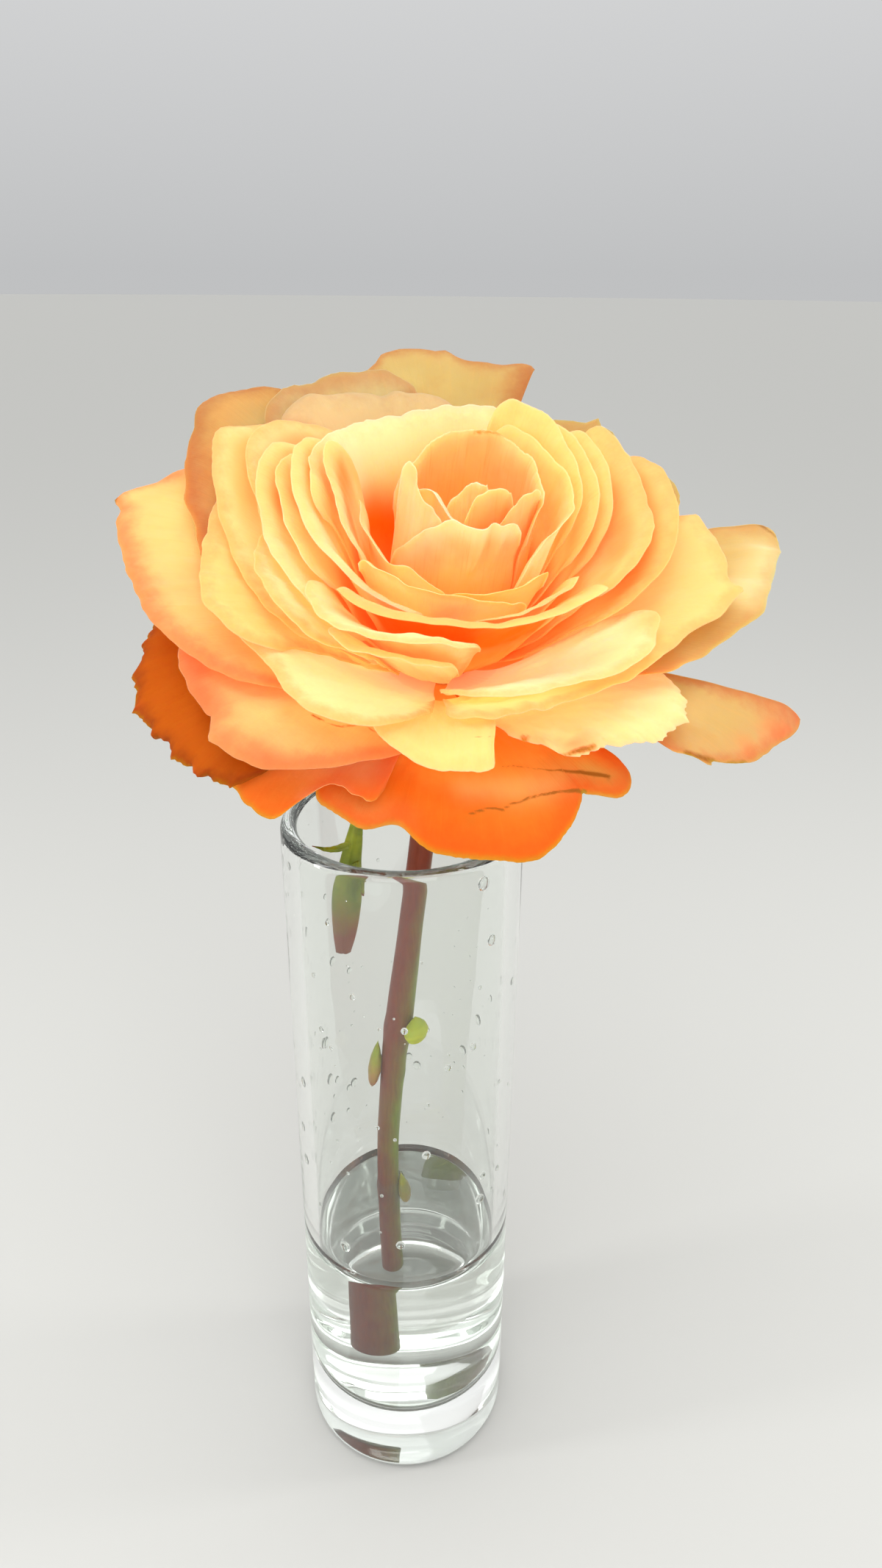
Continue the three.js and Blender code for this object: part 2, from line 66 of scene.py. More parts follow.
def add_node(tree, kind, inputs=None, stops=(), **settings):
    """One node with its settings. An input gets a value, or a link from a socket, and a
    colour ramp gets its stops, each a place and an sRGB hex value."""
    node = tree.nodes.new(kind)
    for name, value in settings.items():
        setattr(node, name, value)
    for name, value in (inputs or {}).items():
        if isinstance(value, bpy.types.NodeSocket):
            tree.links.new(value, node.inputs[name])
        else:
            node.inputs[name].default_value = value
    if stops:
        elements = node.color_ramp.elements
        for end, (at, code) in ((elements[0], stops[0]), (elements[1], stops[-1])):
            end.position, end.color = at, linear(code)
        for at, code in stops[1:-1]:
            elements.new(at).color = linear(code)
    return node


def start_material(name, values):
    """A node material whose Principled shader has the given values on its sockets."""
    made = bpy.data.materials.new(name)
    made.use_nodes = True
    shader = made.node_tree.nodes["Principled BSDF"]
    for socket, value in values.items():
        shader.inputs[socket].default_value = value
    return made, made.node_tree, shader


pitch, roll = math.radians(CAMERA_PITCH), math.radians(CAMERA_ROLL)
forward = Vector((0, math.cos(pitch), -math.sin(pitch)))
level_right = Vector((1, 0, 0))
level_up = level_right.cross(forward)
right = level_right * math.cos(roll) + level_up * math.sin(roll)
up = level_up * math.cos(roll) - level_right * math.sin(roll)
camera = bpy.data.objects.new("camera", bpy.data.cameras.new("camera"))
camera.data.lens = CAMERA_LENS
camera.data.sensor_width = 36.0
camera.data.clip_start = 0.005
camera.matrix_world = Matrix.Translation(Vector(CAMERA_PLACE) * MM) @ Matrix(
    (right, up, -forward)
).transposed().to_4x4()
bpy.context.scene.collection.objects.link(camera)
bpy.context.scene.camera = camera

floor_mesh = bpy.data.meshes.new("floor")
floor_turns = [math.tau * i / FLOOR_SIDES for i in range(FLOOR_SIDES)]
floor_mesh.from_pydata(
    [(FLOOR_RADIUS * MM * math.cos(a), FLOOR_RADIUS * MM * math.sin(a), 0) for a in floor_turns],
    [],
    [range(FLOOR_SIDES)],
)
floor = bpy.data.objects.new("floor", floor_mesh)
bpy.context.scene.collection.objects.link(floor)
# matt emulsion paint on board: even, with the faintest roller stipple
paint, tree, shader = start_material(
    "matt emulsion paint", {"Roughness": 0.7, "Base Color": linear("#c6c6c2")}
)
where = add_node(tree, "ShaderNodeTexCoord").outputs["Object"]
stipple = add_node(tree, "ShaderNodeTexNoise", {"Scale": 900.0, "Detail": 2.0, "Vector": where})
relief = {"Strength": 0.05, "Distance": 0.2 * MM, "Height": stipple.outputs["Fac"]}
bump = add_node(tree, "ShaderNodeBump", relief)
tree.links.new(bump.outputs["Normal"], shader.inputs["Normal"])
floor_mesh.materials.append(paint)

# name, place and aim in mm, width and height in mm, watts
LIGHTS = [
    ("softbox", (-40, -240, 780), (5, -5, 190), (620, 420), 1.75),
    ("window", (40, -640, 330), (5, -5, 180), (700, 480), 1.85),
    ("strip_left", (-520, -120, 260), (0, 0, 110), (70, 620), 0.9),
    ("strip_right", (560, 60, 260), (0, 0, 110), (90, 620), 0.9),
]
for name, place, aim, size, watts in LIGHTS:
    lamp = bpy.data.lights.new(name, "AREA")
    lamp.shape = "RECTANGLE"
    lamp.size, lamp.size_y = size[0] * MM, size[1] * MM
    lamp.energy = watts
    holder = bpy.data.objects.new(name, lamp)
    holder.location = Vector(place) * MM
    holder.rotation_euler = (Vector(aim) - Vector(place)).to_track_quat("-Z", "Y").to_euler()
    bpy.context.scene.collection.objects.link(holder)

world = bpy.data.worlds.new("studio")
bpy.context.scene.world = world
world.use_nodes = True
sky = world.node_tree
direction = add_node(sky, "ShaderNodeTexCoord").outputs["Generated"]
height = add_node(sky, "ShaderNodeSeparateXYZ", {"Vector": direction}).outputs["Z"]
grey_to_white = [(0.0, "#b4b5b6"), (1.0, "#ffffff")]
fade = add_node(sky, "ShaderNodeValToRGB", {"Fac": height}, grey_to_white)
background = sky.nodes["Background"]
sky.links.new(fade.outputs["Color"], background.inputs["Color"])
background.inputs["Strength"].default_value = STUDIO_BRIGHTNESS
bpy.context.scene.view_settings.view_transform = "Standard"
light_paths = bpy.context.scene.cycles
light_paths.max_bounces = GLASS_BOUNCES
light_paths.transmission_bounces = GLASS_BOUNCES
light_paths.glossy_bounces = GLASS_BOUNCES
light_paths.diffuse_bounces = PETAL_BOUNCES

# ---- vase ---------------------------------------------------------------------------
# A pressed and fire-polished cylinder of soda-lime glass with a thick foot. The mould
# leaves the inside of the floor rounded, and the wall has slow vertical waves.

VASE_RADIUS = 22.0
VASE_HEIGHT = 152.0
VASE_WALL = 3.0
VASE_FOOT_THICKNESS = 16.0
VASE_HEEL_RADIUS = 3.0
VASE_FLOOR_CORNER = 4.5
# radius and height of points under the foot, which is pushed up so that it stands flat
VASE_UNDERSIDE = [(0, 1.2), (8, 1.02), (14, 0.48), (17, 0.08)]
VASE_SIDES = 128
VASE_WALL_STEPS = 40


def new_piece(name, points, faces, material):
    """A smooth-shaded mesh piece from points in millimetres."""
    mesh = bpy.data.meshes.new(name)
    mesh.from_pydata(np.asarray(points, float) * MM, [], faces)
    mesh.shade_smooth()
    mesh.materials.append(material)
    piece = bpy.data.objects.new(name, mesh)
    bpy.context.scene.collection.objects.link(piece)
    return piece


def arc(centre, radius, start, end, steps):
    """Points of radius and height along an arc, angles in degrees."""
    angles = np.radians(np.linspace(start, end, steps + 1))
    return [(centre[0] + radius * np.cos(a), centre[1] + radius * np.sin(a)) for a in angles]


def turned(profile, sides):
    """Points and faces of a turned solid whose profile starts and ends on the axis."""
    inner = np.array(profile[1:-1], float)
    turn = np.linspace(0, math.tau, sides, endpoint=False)[:, None]
    rings = np.stack(
        [inner[:, 0] * np.cos(turn), inner[:, 0] * np.sin(turn), inner[:, 1] + 0 * turn], -1
    )
    count = len(inner)
    points = [*rings.reshape(-1, 3), (0, 0, profile[0][1]), (0, 0, profile[-1][1])]
    first, last = len(points) - 2, len(points) - 1
    faces = []
    for i in range(sides):
        a, b = i * count, ((i + 1) % sides) * count
        faces += [(a + j, b + j, b + j + 1, a + j + 1) for j in range(count - 1)]
        faces += [(first, b, a), (last, a + count - 1, b + count - 1)]
    return np.array(points), faces


# soda-lime glass, IOR 1.52: clear, a breath of green in the thick foot, polished
glass, tree, shader = start_material(
    "soda-lime glass",
    {
        "Roughness": 0.0,
        "IOR": 1.52,
        "Transmission Weight": 1.0,
        "Base Color": linear("#fafcfa"),
    },
)
where = add_node(tree, "ShaderNodeTexCoord").outputs["Object"]
stretch = add_node(tree, "ShaderNodeMapping", {"Scale": (95.0, 95.0, 14.0), "Vector": where})
waves = add_node(
    tree,
    "ShaderNodeTexNoise",
    {"Scale": 1.0, "Detail": 1.0, "Vector": stretch.outputs["Vector"]},
)
relief = {"Strength": 0.35, "Distance": 0.25 * MM, "Height": waves.outputs["Fac"]}
bump = add_node(tree, "ShaderNodeBump", relief)
tree.links.new(bump.outputs["Normal"], shader.inputs["Normal"])

inside = VASE_RADIUS - VASE_WALL
lip = VASE_WALL / 2
heel, corner = VASE_HEEL_RADIUS, VASE_FLOOR_CORNER
wall_heights = np.linspace(VASE_FOOT_THICKNESS, VASE_HEIGHT - 2 * lip, VASE_WALL_STEPS)
vase_profile = [
    *VASE_UNDERSIDE,
    *arc((VASE_RADIUS - heel, heel), heel, -90, 0, 10),
    *[(VASE_RADIUS, z) for z in wall_heights],
    *arc((VASE_RADIUS - lip, VASE_HEIGHT - lip), lip, 0, 180, 14),
    *[(inside, z) for z in wall_heights[::-1][:-4]],
    *arc((inside - corner, VASE_FOOT_THICKNESS + corner), corner, 0, -90, 12),
    (8, VASE_FOOT_THICKNESS),
    (0, VASE_FOOT_THICKNESS),
]
vase = new_piece("glass_vase", *turned(vase_profile, VASE_SIDES), glass)
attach(vase, "root")
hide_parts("vase")

# ---- stem ---------------------------------------------------------------------------
# The cut stem: a woody green cane with a sunburnt red-brown side, a knee where a leaf
# was, and a fresh slanting cut at its foot. Its line and thickness are the frame's.

STEM_LINE = [
    (-3.6, 8.4, 16.4),
    (-4.1, 8.9, 40),
    (-4.3, 9.6, 66),
    (-2.9, 10.7, 88),
    (-1.6, 11.4, 99),
    (0.9, 12.9, 120),
    (3.1, 14.5, 138),
    (4.5, 15.5, 152),
    (5.0, 16.5, 158.5),
]
STEM_RADII = [2.6, 2.5, 2.4, 2.7, 3.0, 2.6, 2.5, 2.5, 2.5, 2.6]
STEM_SIDES = 40
STEM_STEPS = 240
STEM_TOP_GAP = 0.35
STEM_LUMPS = 0.05
# height and half height of the swelling at each node, and how far it stands out
UPPER_NODE, UPPER_SWELLING = (97.0, 2.2), 0.22
LOWER_NODE, LOWER_SWELLING, LOWER_TURN = (86.0, 2.0), 0.16, 3.3
CUT_STEPS, CUT_RISE, CUT_TURN = 8, 0.9, 0.6
SUNBURNT = (140, 14)
SHADED = (72, 12)
BLOOM_SEAT = np.array([7.0, 8.0, 180.0])
BLOOM_NOD = math.radians(28)
BLOOM_LEAN = math.radians(5)
SEAT_TOP, SEAT_DROP, HIP_LENGTH = 3.0, 6.0, 16.0
HIP_END = SEAT_TOP - SEAT_DROP - HIP_LENGTH + 3

head_up = np.array(
    [
        math.sin(BLOOM_LEAN),
        -math.sin(BLOOM_NOD) * math.cos(BLOOM_LEAN),
        math.cos(BLOOM_NOD) * math.cos(BLOOM_LEAN),
    ]
)
head_back = np.array([0.0, math.cos(BLOOM_NOD), math.sin(BLOOM_NOD)])
head_right = np.cross(head_back, head_up)


def from_head(points):
    """Points of the bloom's own frame, put in the object's frame."""
    p = np.asarray(points, float)
    return BLOOM_SEAT + p @ np.array([head_right, head_back, head_up])


def spline(values, x):
    """A smooth curve through evenly spaced values, read at x."""
    values = np.asarray(values, float)
    x = np.clip(x, 0, len(values) - 1)
    i = np.minimum(np.asarray(x).astype(int), len(values) - 2)
    t = (x - i).reshape(x.shape + (1,) * (values.ndim - 1)) if values.ndim > 1 else x - i
    a, b = values[np.maximum(i - 1, 0)], values[i]
    c, d = values[i + 1], values[np.minimum(i + 2, len(values) - 1)]
    return b + 0.5 * t * (c - a + t * (2 * a - 5 * b + 4 * c - d + t * (3 * (b - c) + d - a)))


def ripple(x, y, seed, count=5):
    """Smooth seeded waves between about -1 and 1, x and y in turns."""
    rng = np.random.default_rng(seed)
    total = 0.0
    for k in range(count):
        across, along, phase = rng.normal(0, 1), rng.normal(0, 1), rng.uniform(0, math.tau)
        total = total + np.sin(math.tau * (across * x + along * y) + phase)
    return total / math.sqrt(count)


def give(piece, name, values):
    """A number for each point of a piece, which its material reads by name."""
    layer = piece.data.attributes.new(name, "FLOAT", "POINT")
    layer.data.foreach_set("value", np.asarray(values, np.float32).ravel())


stem_top = from_head([0, 0, HIP_END - STEM_TOP_GAP])
stem_points = np.array([*STEM_LINE, stem_top])
stem_t = np.linspace(0, len(stem_points) - 1, STEM_STEPS + 1)
stem_centre = spline(stem_points, stem_t)
stem_along = np.gradient(stem_centre, axis=0)
stem_along[0] = (0.0, 0.0, 1.0)
stem_along[-1] = head_up
stem_along /= np.linalg.norm(stem_along, axis=1)[:, None]
stem_across = np.array([1.0, 0, 0]) - stem_along * stem_along[:, :1]
stem_across /= np.linalg.norm(stem_across, axis=1)[:, None]
stem_other = np.cross(stem_along, stem_across)
stem_radius = spline(STEM_RADII, stem_t)[:, None]


def stem_at(z):
    """The stem's centre and radius at a height."""
    i = int(np.argmin(np.abs(stem_centre[:, 2] - z)))
    return stem_centre[i], float(stem_radius[i, 0])


# rose bark: smooth waxy skin, red-brown where the sun was, olive green behind, with
# paler lenticels and a darker ring at each node
bark, tree, shader = start_material(
    "rose bark",
    {"Roughness": 0.42, "Subsurface Weight": 0.12, "Subsurface Scale": 0.6 * MM},
)
where = add_node(tree, "ShaderNodeTexCoord").outputs["Object"]
side = add_node(tree, "ShaderNodeAttribute", attribute_name="sunny")
blotch = add_node(
    tree,
    "ShaderNodeTexNoise",
    {"Scale": 160.0, "Detail": 4.0, "Roughness": 0.6, "Vector": where},
)
burnt = add_node(
    tree,
    "ShaderNodeMath",
    {0: blotch.outputs["Fac"], 1: 0.55, 2: side.outputs["Fac"]},
    operation="MULTIPLY_ADD",
)
skin = add_node(
    tree,
    "ShaderNodeValToRGB",
    {"Fac": burnt.outputs[0]},
    [(0.28, "#849410"), (0.6, "#8a6410"), (1.0, "#8c3404")],
)
long_way = add_node(tree, "ShaderNodeMapping", {"Scale": (2200.0, 2200.0, 260.0), "Vector": where})
streak = add_node(
    tree,
    "ShaderNodeTexNoise",
    {"Scale": 1.0, "Detail": 3.0, "Vector": long_way.outputs["Vector"]},
)
streak_tone = add_node(
    tree,
    "ShaderNodeValToRGB",
    {"Fac": streak.outputs["Fac"]},
    [(0.3, "#b9a078"), (0.7, "#ffffff")],
)
shade = add_node(
    tree,
    "ShaderNodeMix",
    {"Factor": 0.45, 6: skin.outputs["Color"], 7: streak_tone.outputs["Color"]},
    data_type="RGBA",
    blend_type="MULTIPLY",
)
tree.links.new(shade.outputs[2], shader.inputs["Base Color"])
relief = {"Strength": 0.5, "Distance": 0.12 * MM, "Height": streak.outputs["Fac"]}
bump = add_node(tree, "ShaderNodeBump", relief)
tree.links.new(bump.outputs["Normal"], shader.inputs["Normal"])


def hump(x, middle, half_width):
    """A soft bump of height 1."""
    return np.exp(-(((x - middle) / half_width) ** 2))


turn = np.linspace(0, math.tau, STEM_SIDES, endpoint=False)[None, :]
z_row = stem_centre[:, 2:3]
lumps = STEM_LUMPS * ripple(turn / 3, z_row / 30, 4) + UPPER_SWELLING * hump(z_row, *UPPER_NODE)
lumps = lumps + LOWER_SWELLING * hump(z_row, *LOWER_NODE) * (1 - np.cos(turn - LOWER_TURN)) / 2
ring = (stem_radius - 0.02 + lumps)[..., None] * (
    np.cos(turn)[..., None] * stem_across[:, None] + np.sin(turn)[..., None] * stem_other[:, None]
)
stem_skin = stem_centre[:, None] + ring
slant = np.clip(1 - np.arange(STEM_STEPS + 1) / CUT_STEPS, 0, 1)[:, None]
stem_skin[..., 2] += slant * (CUT_RISE + CUT_RISE * np.sin(turn + CUT_TURN))
points = [*stem_skin.reshape(-1, 3), stem_skin[0].mean(0), stem_skin[-1].mean(0)]
faces = []
for j in range(STEM_STEPS):
    for i in range(STEM_SIDES):
        a, b = j * STEM_SIDES + i, j * STEM_SIDES + (i + 1) % STEM_SIDES
        faces.append((a, b, b + STEM_SIDES, a + STEM_SIDES))
foot, crown, last = len(points) - 2, len(points) - 1, STEM_STEPS * STEM_SIDES
for i in range(STEM_SIDES):
    after = (i + 1) % STEM_SIDES
    faces += [(foot, after, i), (crown, last + i, last + after)]
stem = new_piece("cut_stem", points, faces, bark)
sunny = 0.42 - 0.42 * np.cos(turn - 0.35) * np.ones_like(z_row)
sunny = sunny + 0.45 * hump(z_row, *SUNBURNT) - 0.25 * hump(z_row, *SHADED)
give(stem, "sunny", [*sunny.ravel(), 0.1, 0.5])
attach(stem, "root")
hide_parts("stem")

# ---- water --------------------------------------------------------------------------
# Forty millimetres of tap water. It wets the glass and the stem, so its top climbs both
# in a small meniscus, and its skin lies just inside the glass, as wet glass has no gap.

WATER_LEVEL = 56.0
WETTED = 0.05
WALL_MENISCUS = (1.3, 1.0)
STEM_MENISCUS = (0.7, 0.8)

# water, IOR 1.333: clear, still
water_look, tree, shader = start_material(
    "water",
    {
        "Roughness": 0.0,
        "IOR": 1.333,
        "Transmission Weight": 1.0,
        "Base Color": linear("#fbfdfb"),
    },
)

reach = inside + WETTED
bed = VASE_FOOT_THICKNESS - WETTED
water_profile = [
    (0, bed),
    (8, bed),
    *arc((reach - corner, bed + corner), corner, -90, 0, 10),
    *[(reach, z) for z in np.linspace(bed + 6, WATER_LEVEL, 18)],
    *[(r, WATER_LEVEL) for r in reach - np.geomspace(0.12, reach - 0.3, 40)],
    (0, WATER_LEVEL),
]
points, faces = turned(water_profile, VASE_SIDES)
top = points[:, 2] > WATER_LEVEL - 1e-6
spread = np.hypot(points[top, 0], points[top, 1])
points[top, 2] += WALL_MENISCUS[0] * np.exp(-(reach - spread) / WALL_MENISCUS[1])
centre, radius = stem_at(WATER_LEVEL)
gap = np.hypot(points[top, 0] - centre[0], points[top, 1] - centre[1]) - radius
points[top, 2] += STEM_MENISCUS[0] * np.exp(-np.maximum(gap, 0) / STEM_MENISCUS[1])
water = new_piece("tap_water", points, faces, water_look)
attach(water, "root")
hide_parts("water")

# ---- droplets on the glass ----------------------------------------------------------
# Splashes left on the inside of the wall above the water: low domes of water, each wider
# than it is high, scattered with a fixed seed over a sleeve that lies on the glass.

DROPLET_LOW, DROPLET_HIGH = 62.0, 147.0
DROPLET_SEED = 11
DROPLETS_PER_SQUARE_METRE = 16000.0
DROPLET_SMALLEST, DROPLET_GROWTH = 0.12, 1.15
SLEEVE_RINGS, SLEEVE_SIDES = 12, 48


def droplet_tree():
    """Scatters domes of random size over the faces it is given, most of them small."""
    made = bpy.data.node_groups.new("scattered droplets", "GeometryNodeTree")
    face = made.interface
    for label, kind, value in (
        ("Geometry", "Geometry", None),
        ("Density", "Float", DROPLETS_PER_SQUARE_METRE),
        ("Smallest", "Float", DROPLET_SMALLEST * MM),
        ("Growth", "Float", DROPLET_GROWTH * MM),
        ("Seed", "Int", DROPLET_SEED),
        ("Material", "Material", None),
    ):
        socket = face.new_socket(label, in_out="INPUT", socket_type=f"NodeSocket{kind}")
        if value is not None:
            socket.default_value = value
    face.new_socket("Geometry", in_out="OUTPUT", socket_type="NodeSocketGeometry")
    given = add_node(made, "NodeGroupInput").outputs
    spots = add_node(
        made,
        "GeometryNodeDistributePointsOnFaces",
        {"Mesh": given["Geometry"], "Density": given["Density"], "Seed": given["Seed"]},
    ).outputs
    chance = add_node(made, "FunctionNodeRandomValue", {"Seed": given["Seed"]}, data_type="FLOAT")
    rare = add_node(made, "ShaderNodeMath", {0: chance.outputs[1], 1: 3.2}, operation="POWER")
    size = add_node(
        made,
        "ShaderNodeMath",
        {0: rare.outputs[0], 1: given["Growth"], 2: given["Smallest"]},
        operation="MULTIPLY_ADD",
    )
    # a dome a little longer than it is wide, and half as high
    shape = add_node(
        made,
        "ShaderNodeVectorMath",
        {0: (1.0, 1.25, 0.55), "Scale": size.outputs[0]},
        operation="SCALE",
    )
    ball = add_node(made, "GeometryNodeMeshUVSphere", {"Segments": 12, "Rings": 8, "Radius": 1.0})
    placed = add_node(
        made,
        "GeometryNodeInstanceOnPoints",
        {
            "Points": spots["Points"],
            "Instance": ball.outputs["Mesh"],
            "Rotation": spots["Rotation"],
            "Scale": shape.outputs["Vector"],
        },
    )
    real = add_node(made, "GeometryNodeRealizeInstances", {"Geometry": placed.outputs[0]})
    rounded = add_node(made, "GeometryNodeSetShadeSmooth", {"Geometry": real.outputs[0]})
    wet = add_node(
        made,
        "GeometryNodeSetMaterial",
        {"Geometry": rounded.outputs[0], "Material": given["Material"]},
    )
    add_node(made, "NodeGroupOutput", {"Geometry": wet.outputs[0]})
    return made


def evaluated(source, tree, name, **inputs):
    """A plain mesh piece from what a geometry tree makes of a source object."""
    modifier = source.modifiers.new("shape", "NODES")
    modifier.node_group = tree
    for item in tree.interface.items_tree:
        if item.name in inputs and item.in_out == "INPUT":
            modifier[item.identifier] = inputs[item.name]
    bpy.context.view_layer.update()
    graph = bpy.context.evaluated_depsgraph_get()
    made = bpy.data.meshes.new_from_object(source.evaluated_get(graph))
    source.modifiers.clear()
    made.name = name
    piece = bpy.data.objects.new(name, made)
    bpy.context.scene.collection.objects.link(piece)
    bpy.data.objects.remove(source)
    return piece


sleeve_points = [
    (inside * math.cos(a), inside * math.sin(a), z)
    for z in np.linspace(DROPLET_LOW, DROPLET_HIGH, SLEEVE_RINGS)
    for a in np.linspace(0, math.tau, SLEEVE_SIDES, endpoint=False)
]
sleeve_faces = []
for j in range(SLEEVE_RINGS - 1):
    for i in range(SLEEVE_SIDES):
        a, b = j * SLEEVE_SIDES + i, j * SLEEVE_SIDES + (i + 1) % SLEEVE_SIDES
        sleeve_faces.append((a, a + SLEEVE_SIDES, b + SLEEVE_SIDES, b))
sleeve = new_piece("sleeve", sleeve_points, sleeve_faces, water_look)
droplets = evaluated(sleeve, droplet_tree(), "droplets", Seed=DROPLET_SEED, Material=water_look)
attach(droplets, "root")

# ---- side buds on the stem ----------------------------------------------------------
# Three dormant buds, each a small pointed cone of overlapping scales pressed against
# the bark above an old leaf scar.

# name, height, angle round the stem, length, width, root colour, tip colour
STEM_BUDS = [
    ("upper", 98, 52, 6.4, 6.2, "#d8da10", "#b8cc18"),
    ("middle", 87, 275, 12.5, 4.2, "#c87850", "#a8b81c"),
    ("lower", 52, 80, 11.5, 4.0, "#b08a14", "#aaa818"),
]
BUD_GAP = 0.2
BUD_PROFILE = [0.0, 0.26, 0.4, 0.47, 0.5, 0.48, 0.43, 0.35, 0.25, 0.12, 0.0]
BUD_ROWS, BUD_SIDES = 40, 28
BUD_FLATNESS = 0.62
BUD_TILT = 0.12
BUD_BELOW_NODE = 0.4
BUD_PRESS, BUD_PRESS_DEPTH = 0.35, 0.8
SCALES_PER_BUD, SCALE_LIP, SCALE_SHARE = 4.2, 0.07, 0.85

for name, z, around, length, width, root, tip in STEM_BUDS:
    # bud scales: leathery green skins, paler at the root
    look, tree, shader = start_material(
        f"{name} bud scales",
        {"Roughness": 0.4, "Subsurface Weight": 0.3, "Subsurface Scale": 0.8 * MM},
    )
    rise = add_node(tree, "ShaderNodeAttribute", attribute_name="rise")
    where = add_node(tree, "ShaderNodeTexCoord").outputs["Object"]
    grain = add_node(tree, "ShaderNodeTexNoise", {"Scale": 700.0, "Detail": 3.0, "Vector": where})
    place = add_node(
        tree,
        "ShaderNodeMath",
        {0: grain.outputs["Fac"], 1: 0.4, 2: rise.outputs["Fac"]},
        operation="MULTIPLY_ADD",
    )
    fade = {"Fac": place.outputs[0]}
    tone = add_node(tree, "ShaderNodeValToRGB", fade, [(0.25, root), (1.0, tip)])
    tree.links.new(tone.outputs["Color"], shader.inputs["Base Color"])
    centre, radius = stem_at(z)
    t = np.linspace(0, 1, BUD_ROWS + 1)
    up_scale = (t * SCALES_PER_BUD) % 1.0
    scales = 1 + SCALE_LIP * (up_scale < SCALE_SHARE) * up_scale
    half_widths = spline(BUD_PROFILE, t * (len(BUD_PROFILE) - 1)) * width * scales
    profile = [(r, (h - BUD_BELOW_NODE) * length) for r, h in zip(half_widths, t)]
    points, faces = turned(profile, BUD_SIDES)
    turn_out = math.radians(around)
    out = np.array([math.sin(turn_out), -math.cos(turn_out), 0])
    sideways = np.array([math.cos(turn_out), math.sin(turn_out), 0])
    points = points * (1, BUD_FLATNESS, 1) @ np.array([sideways, -out, (0, 0, 1)])
    points = points @ np.array(Matrix.Rotation(-BUD_TILT, 3, Vector(sideways)).transposed())
    points = points + centre + out * (radius + BUD_GAP + BUD_FLATNESS / 2 * width)
    press = np.exp(-((points - centre) @ out - radius) / BUD_PRESS_DEPTH)[:, None]
    points = points - out * BUD_PRESS * np.clip(press, 0, 1)
    bud = new_piece(f"{name}_stem_bud", points, faces, look)
    give(bud, "rise", [*np.tile(t[1:-1], BUD_SIDES), 0.0, 1.0])
    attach(bud, "root")
    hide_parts(f"stem_bud_{name}")

# ---- hip ----------------------------------------------------------------------------
# The green cup under the bloom that the petals and sepals grow from: a fleshy, smooth
# vase shape with a waxy bloom, which narrows into the stem.

HIP_RADIUS = 7.1
HIP_NECK_RADIUS = 2.7
HIP_SIDES, HIP_ROWS = 48, 70
HIP_RIBS, HIP_SWELL = 5, 0.02
SEAT_INNER_RADIUS, SEAT_SPREAD, SEAT_GAP = 1.2, 6.0, 0.3


def green_material(name, dark, light, dry, roughness):
    """Sepal or hip tissue: waxy green with fine veins, brown where it has dried."""
    made, tree, shader = start_material(
        name,
        {"Roughness": roughness, "Subsurface Weight": 0.2, "Subsurface Scale": 0.8 * MM},
    )
    where = add_node(tree, "ShaderNodeTexCoord").outputs["Object"]
    patch = add_node(tree, "ShaderNodeTexNoise", {"Scale": 260.0, "Detail": 5.0, "Vector": where})
    patch = patch.outputs["Fac"]
    tone = add_node(tree, "ShaderNodeValToRGB", {"Fac": patch}, [(0.3, dark), (0.72, light)])
    dried = add_node(tree, "ShaderNodeAttribute", attribute_name="dried").outputs["Fac"]
    edge = add_node(tree, "ShaderNodeMath", {0: patch, 1: 0.5, 2: dried}, operation="MULTIPLY_ADD")
    amount = add_node(
        tree, "ShaderNodeMapRange", {"From Min": 0.55, "From Max": 0.95, "Value": edge.outputs[0]}
    )
    colour = add_node(
        tree,
        "ShaderNodeMix",
        {0: amount.outputs[0], 6: tone.outputs["Color"], 7: linear(dry)},
        data_type="RGBA",
    )
    tree.links.new(colour.outputs[2], shader.inputs["Base Color"])
    fine = add_node(tree, "ShaderNodeTexNoise", {"Scale": 1500.0, "Detail": 3.0, "Vector": where})
    relief = {"Strength": 0.4, "Distance": 0.1 * MM, "Height": fine.outputs["Fac"]}
    bump = add_node(tree, "ShaderNodeBump", relief)
    tree.links.new(bump.outputs["Normal"], shader.inputs["Normal"])
    return made


hip_skin = green_material("waxy hip skin", "#66762a", "#93a04a", "#6b4a2c", 0.45)
low = SEAT_TOP - SEAT_DROP
hip_outline = [
    (0, SEAT_TOP - SEAT_GAP - 0.15),
    *[
        (SEAT_INNER_RADIUS + SEAT_SPREAD * s - 0.3, SEAT_TOP - SEAT_DROP * s**1.3 - SEAT_GAP)
        for s in (0.02, 0.25, 0.5, 0.75, 1)
    ],
    (HIP_RADIUS - 0.4, low - 1.2),
    (HIP_RADIUS - 1.4, low - 2.6),
    (HIP_RADIUS - 1.1, low - 5),
    (HIP_RADIUS - 1.6, low - 8.5),
    (HIP_RADIUS - 3.2, low - 11.5),
    (HIP_NECK_RADIUS, HIP_END),
]
fine_t = np.linspace(0, len(hip_outline) - 1, HIP_ROWS)
hip_profile = [*spline(np.array(hip_outline), fine_t)[::-1], (0, SEAT_TOP - SEAT_GAP - 0.15)]
hip_profile = [(0, HIP_END), *[tuple(p) for p in hip_profile[:-1] if p[0] > 0.05], hip_profile[-1]]
points, faces = turned(hip_profile, HIP_SIDES)
angle = np.arctan2(points[:, 1], points[:, 0])
swell = 1 + HIP_SWELL * np.sin(HIP_RIBS * angle + 0.4) * (points[:, 2] < low)
points[:, :2] *= swell[:, None]
hip = new_piece("rose_hip", from_head(points), faces, hip_skin)
give(hip, "dried", 0.12 + 0 * angle)
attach(hip, "root")
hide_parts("hip")

# ---- sepals -------------------------------------------------------------------------
# Five green sepals, turned back below the bloom. They are leathery blades with thin
# side lobes and a brown dried tip, and the longest hangs down into the vase's mouth.

SEPAL_SEAT_RADIUS, SEPAL_SEAT_HEIGHT = 6.6, -4.6
SEPAL_THICKNESS = 0.6
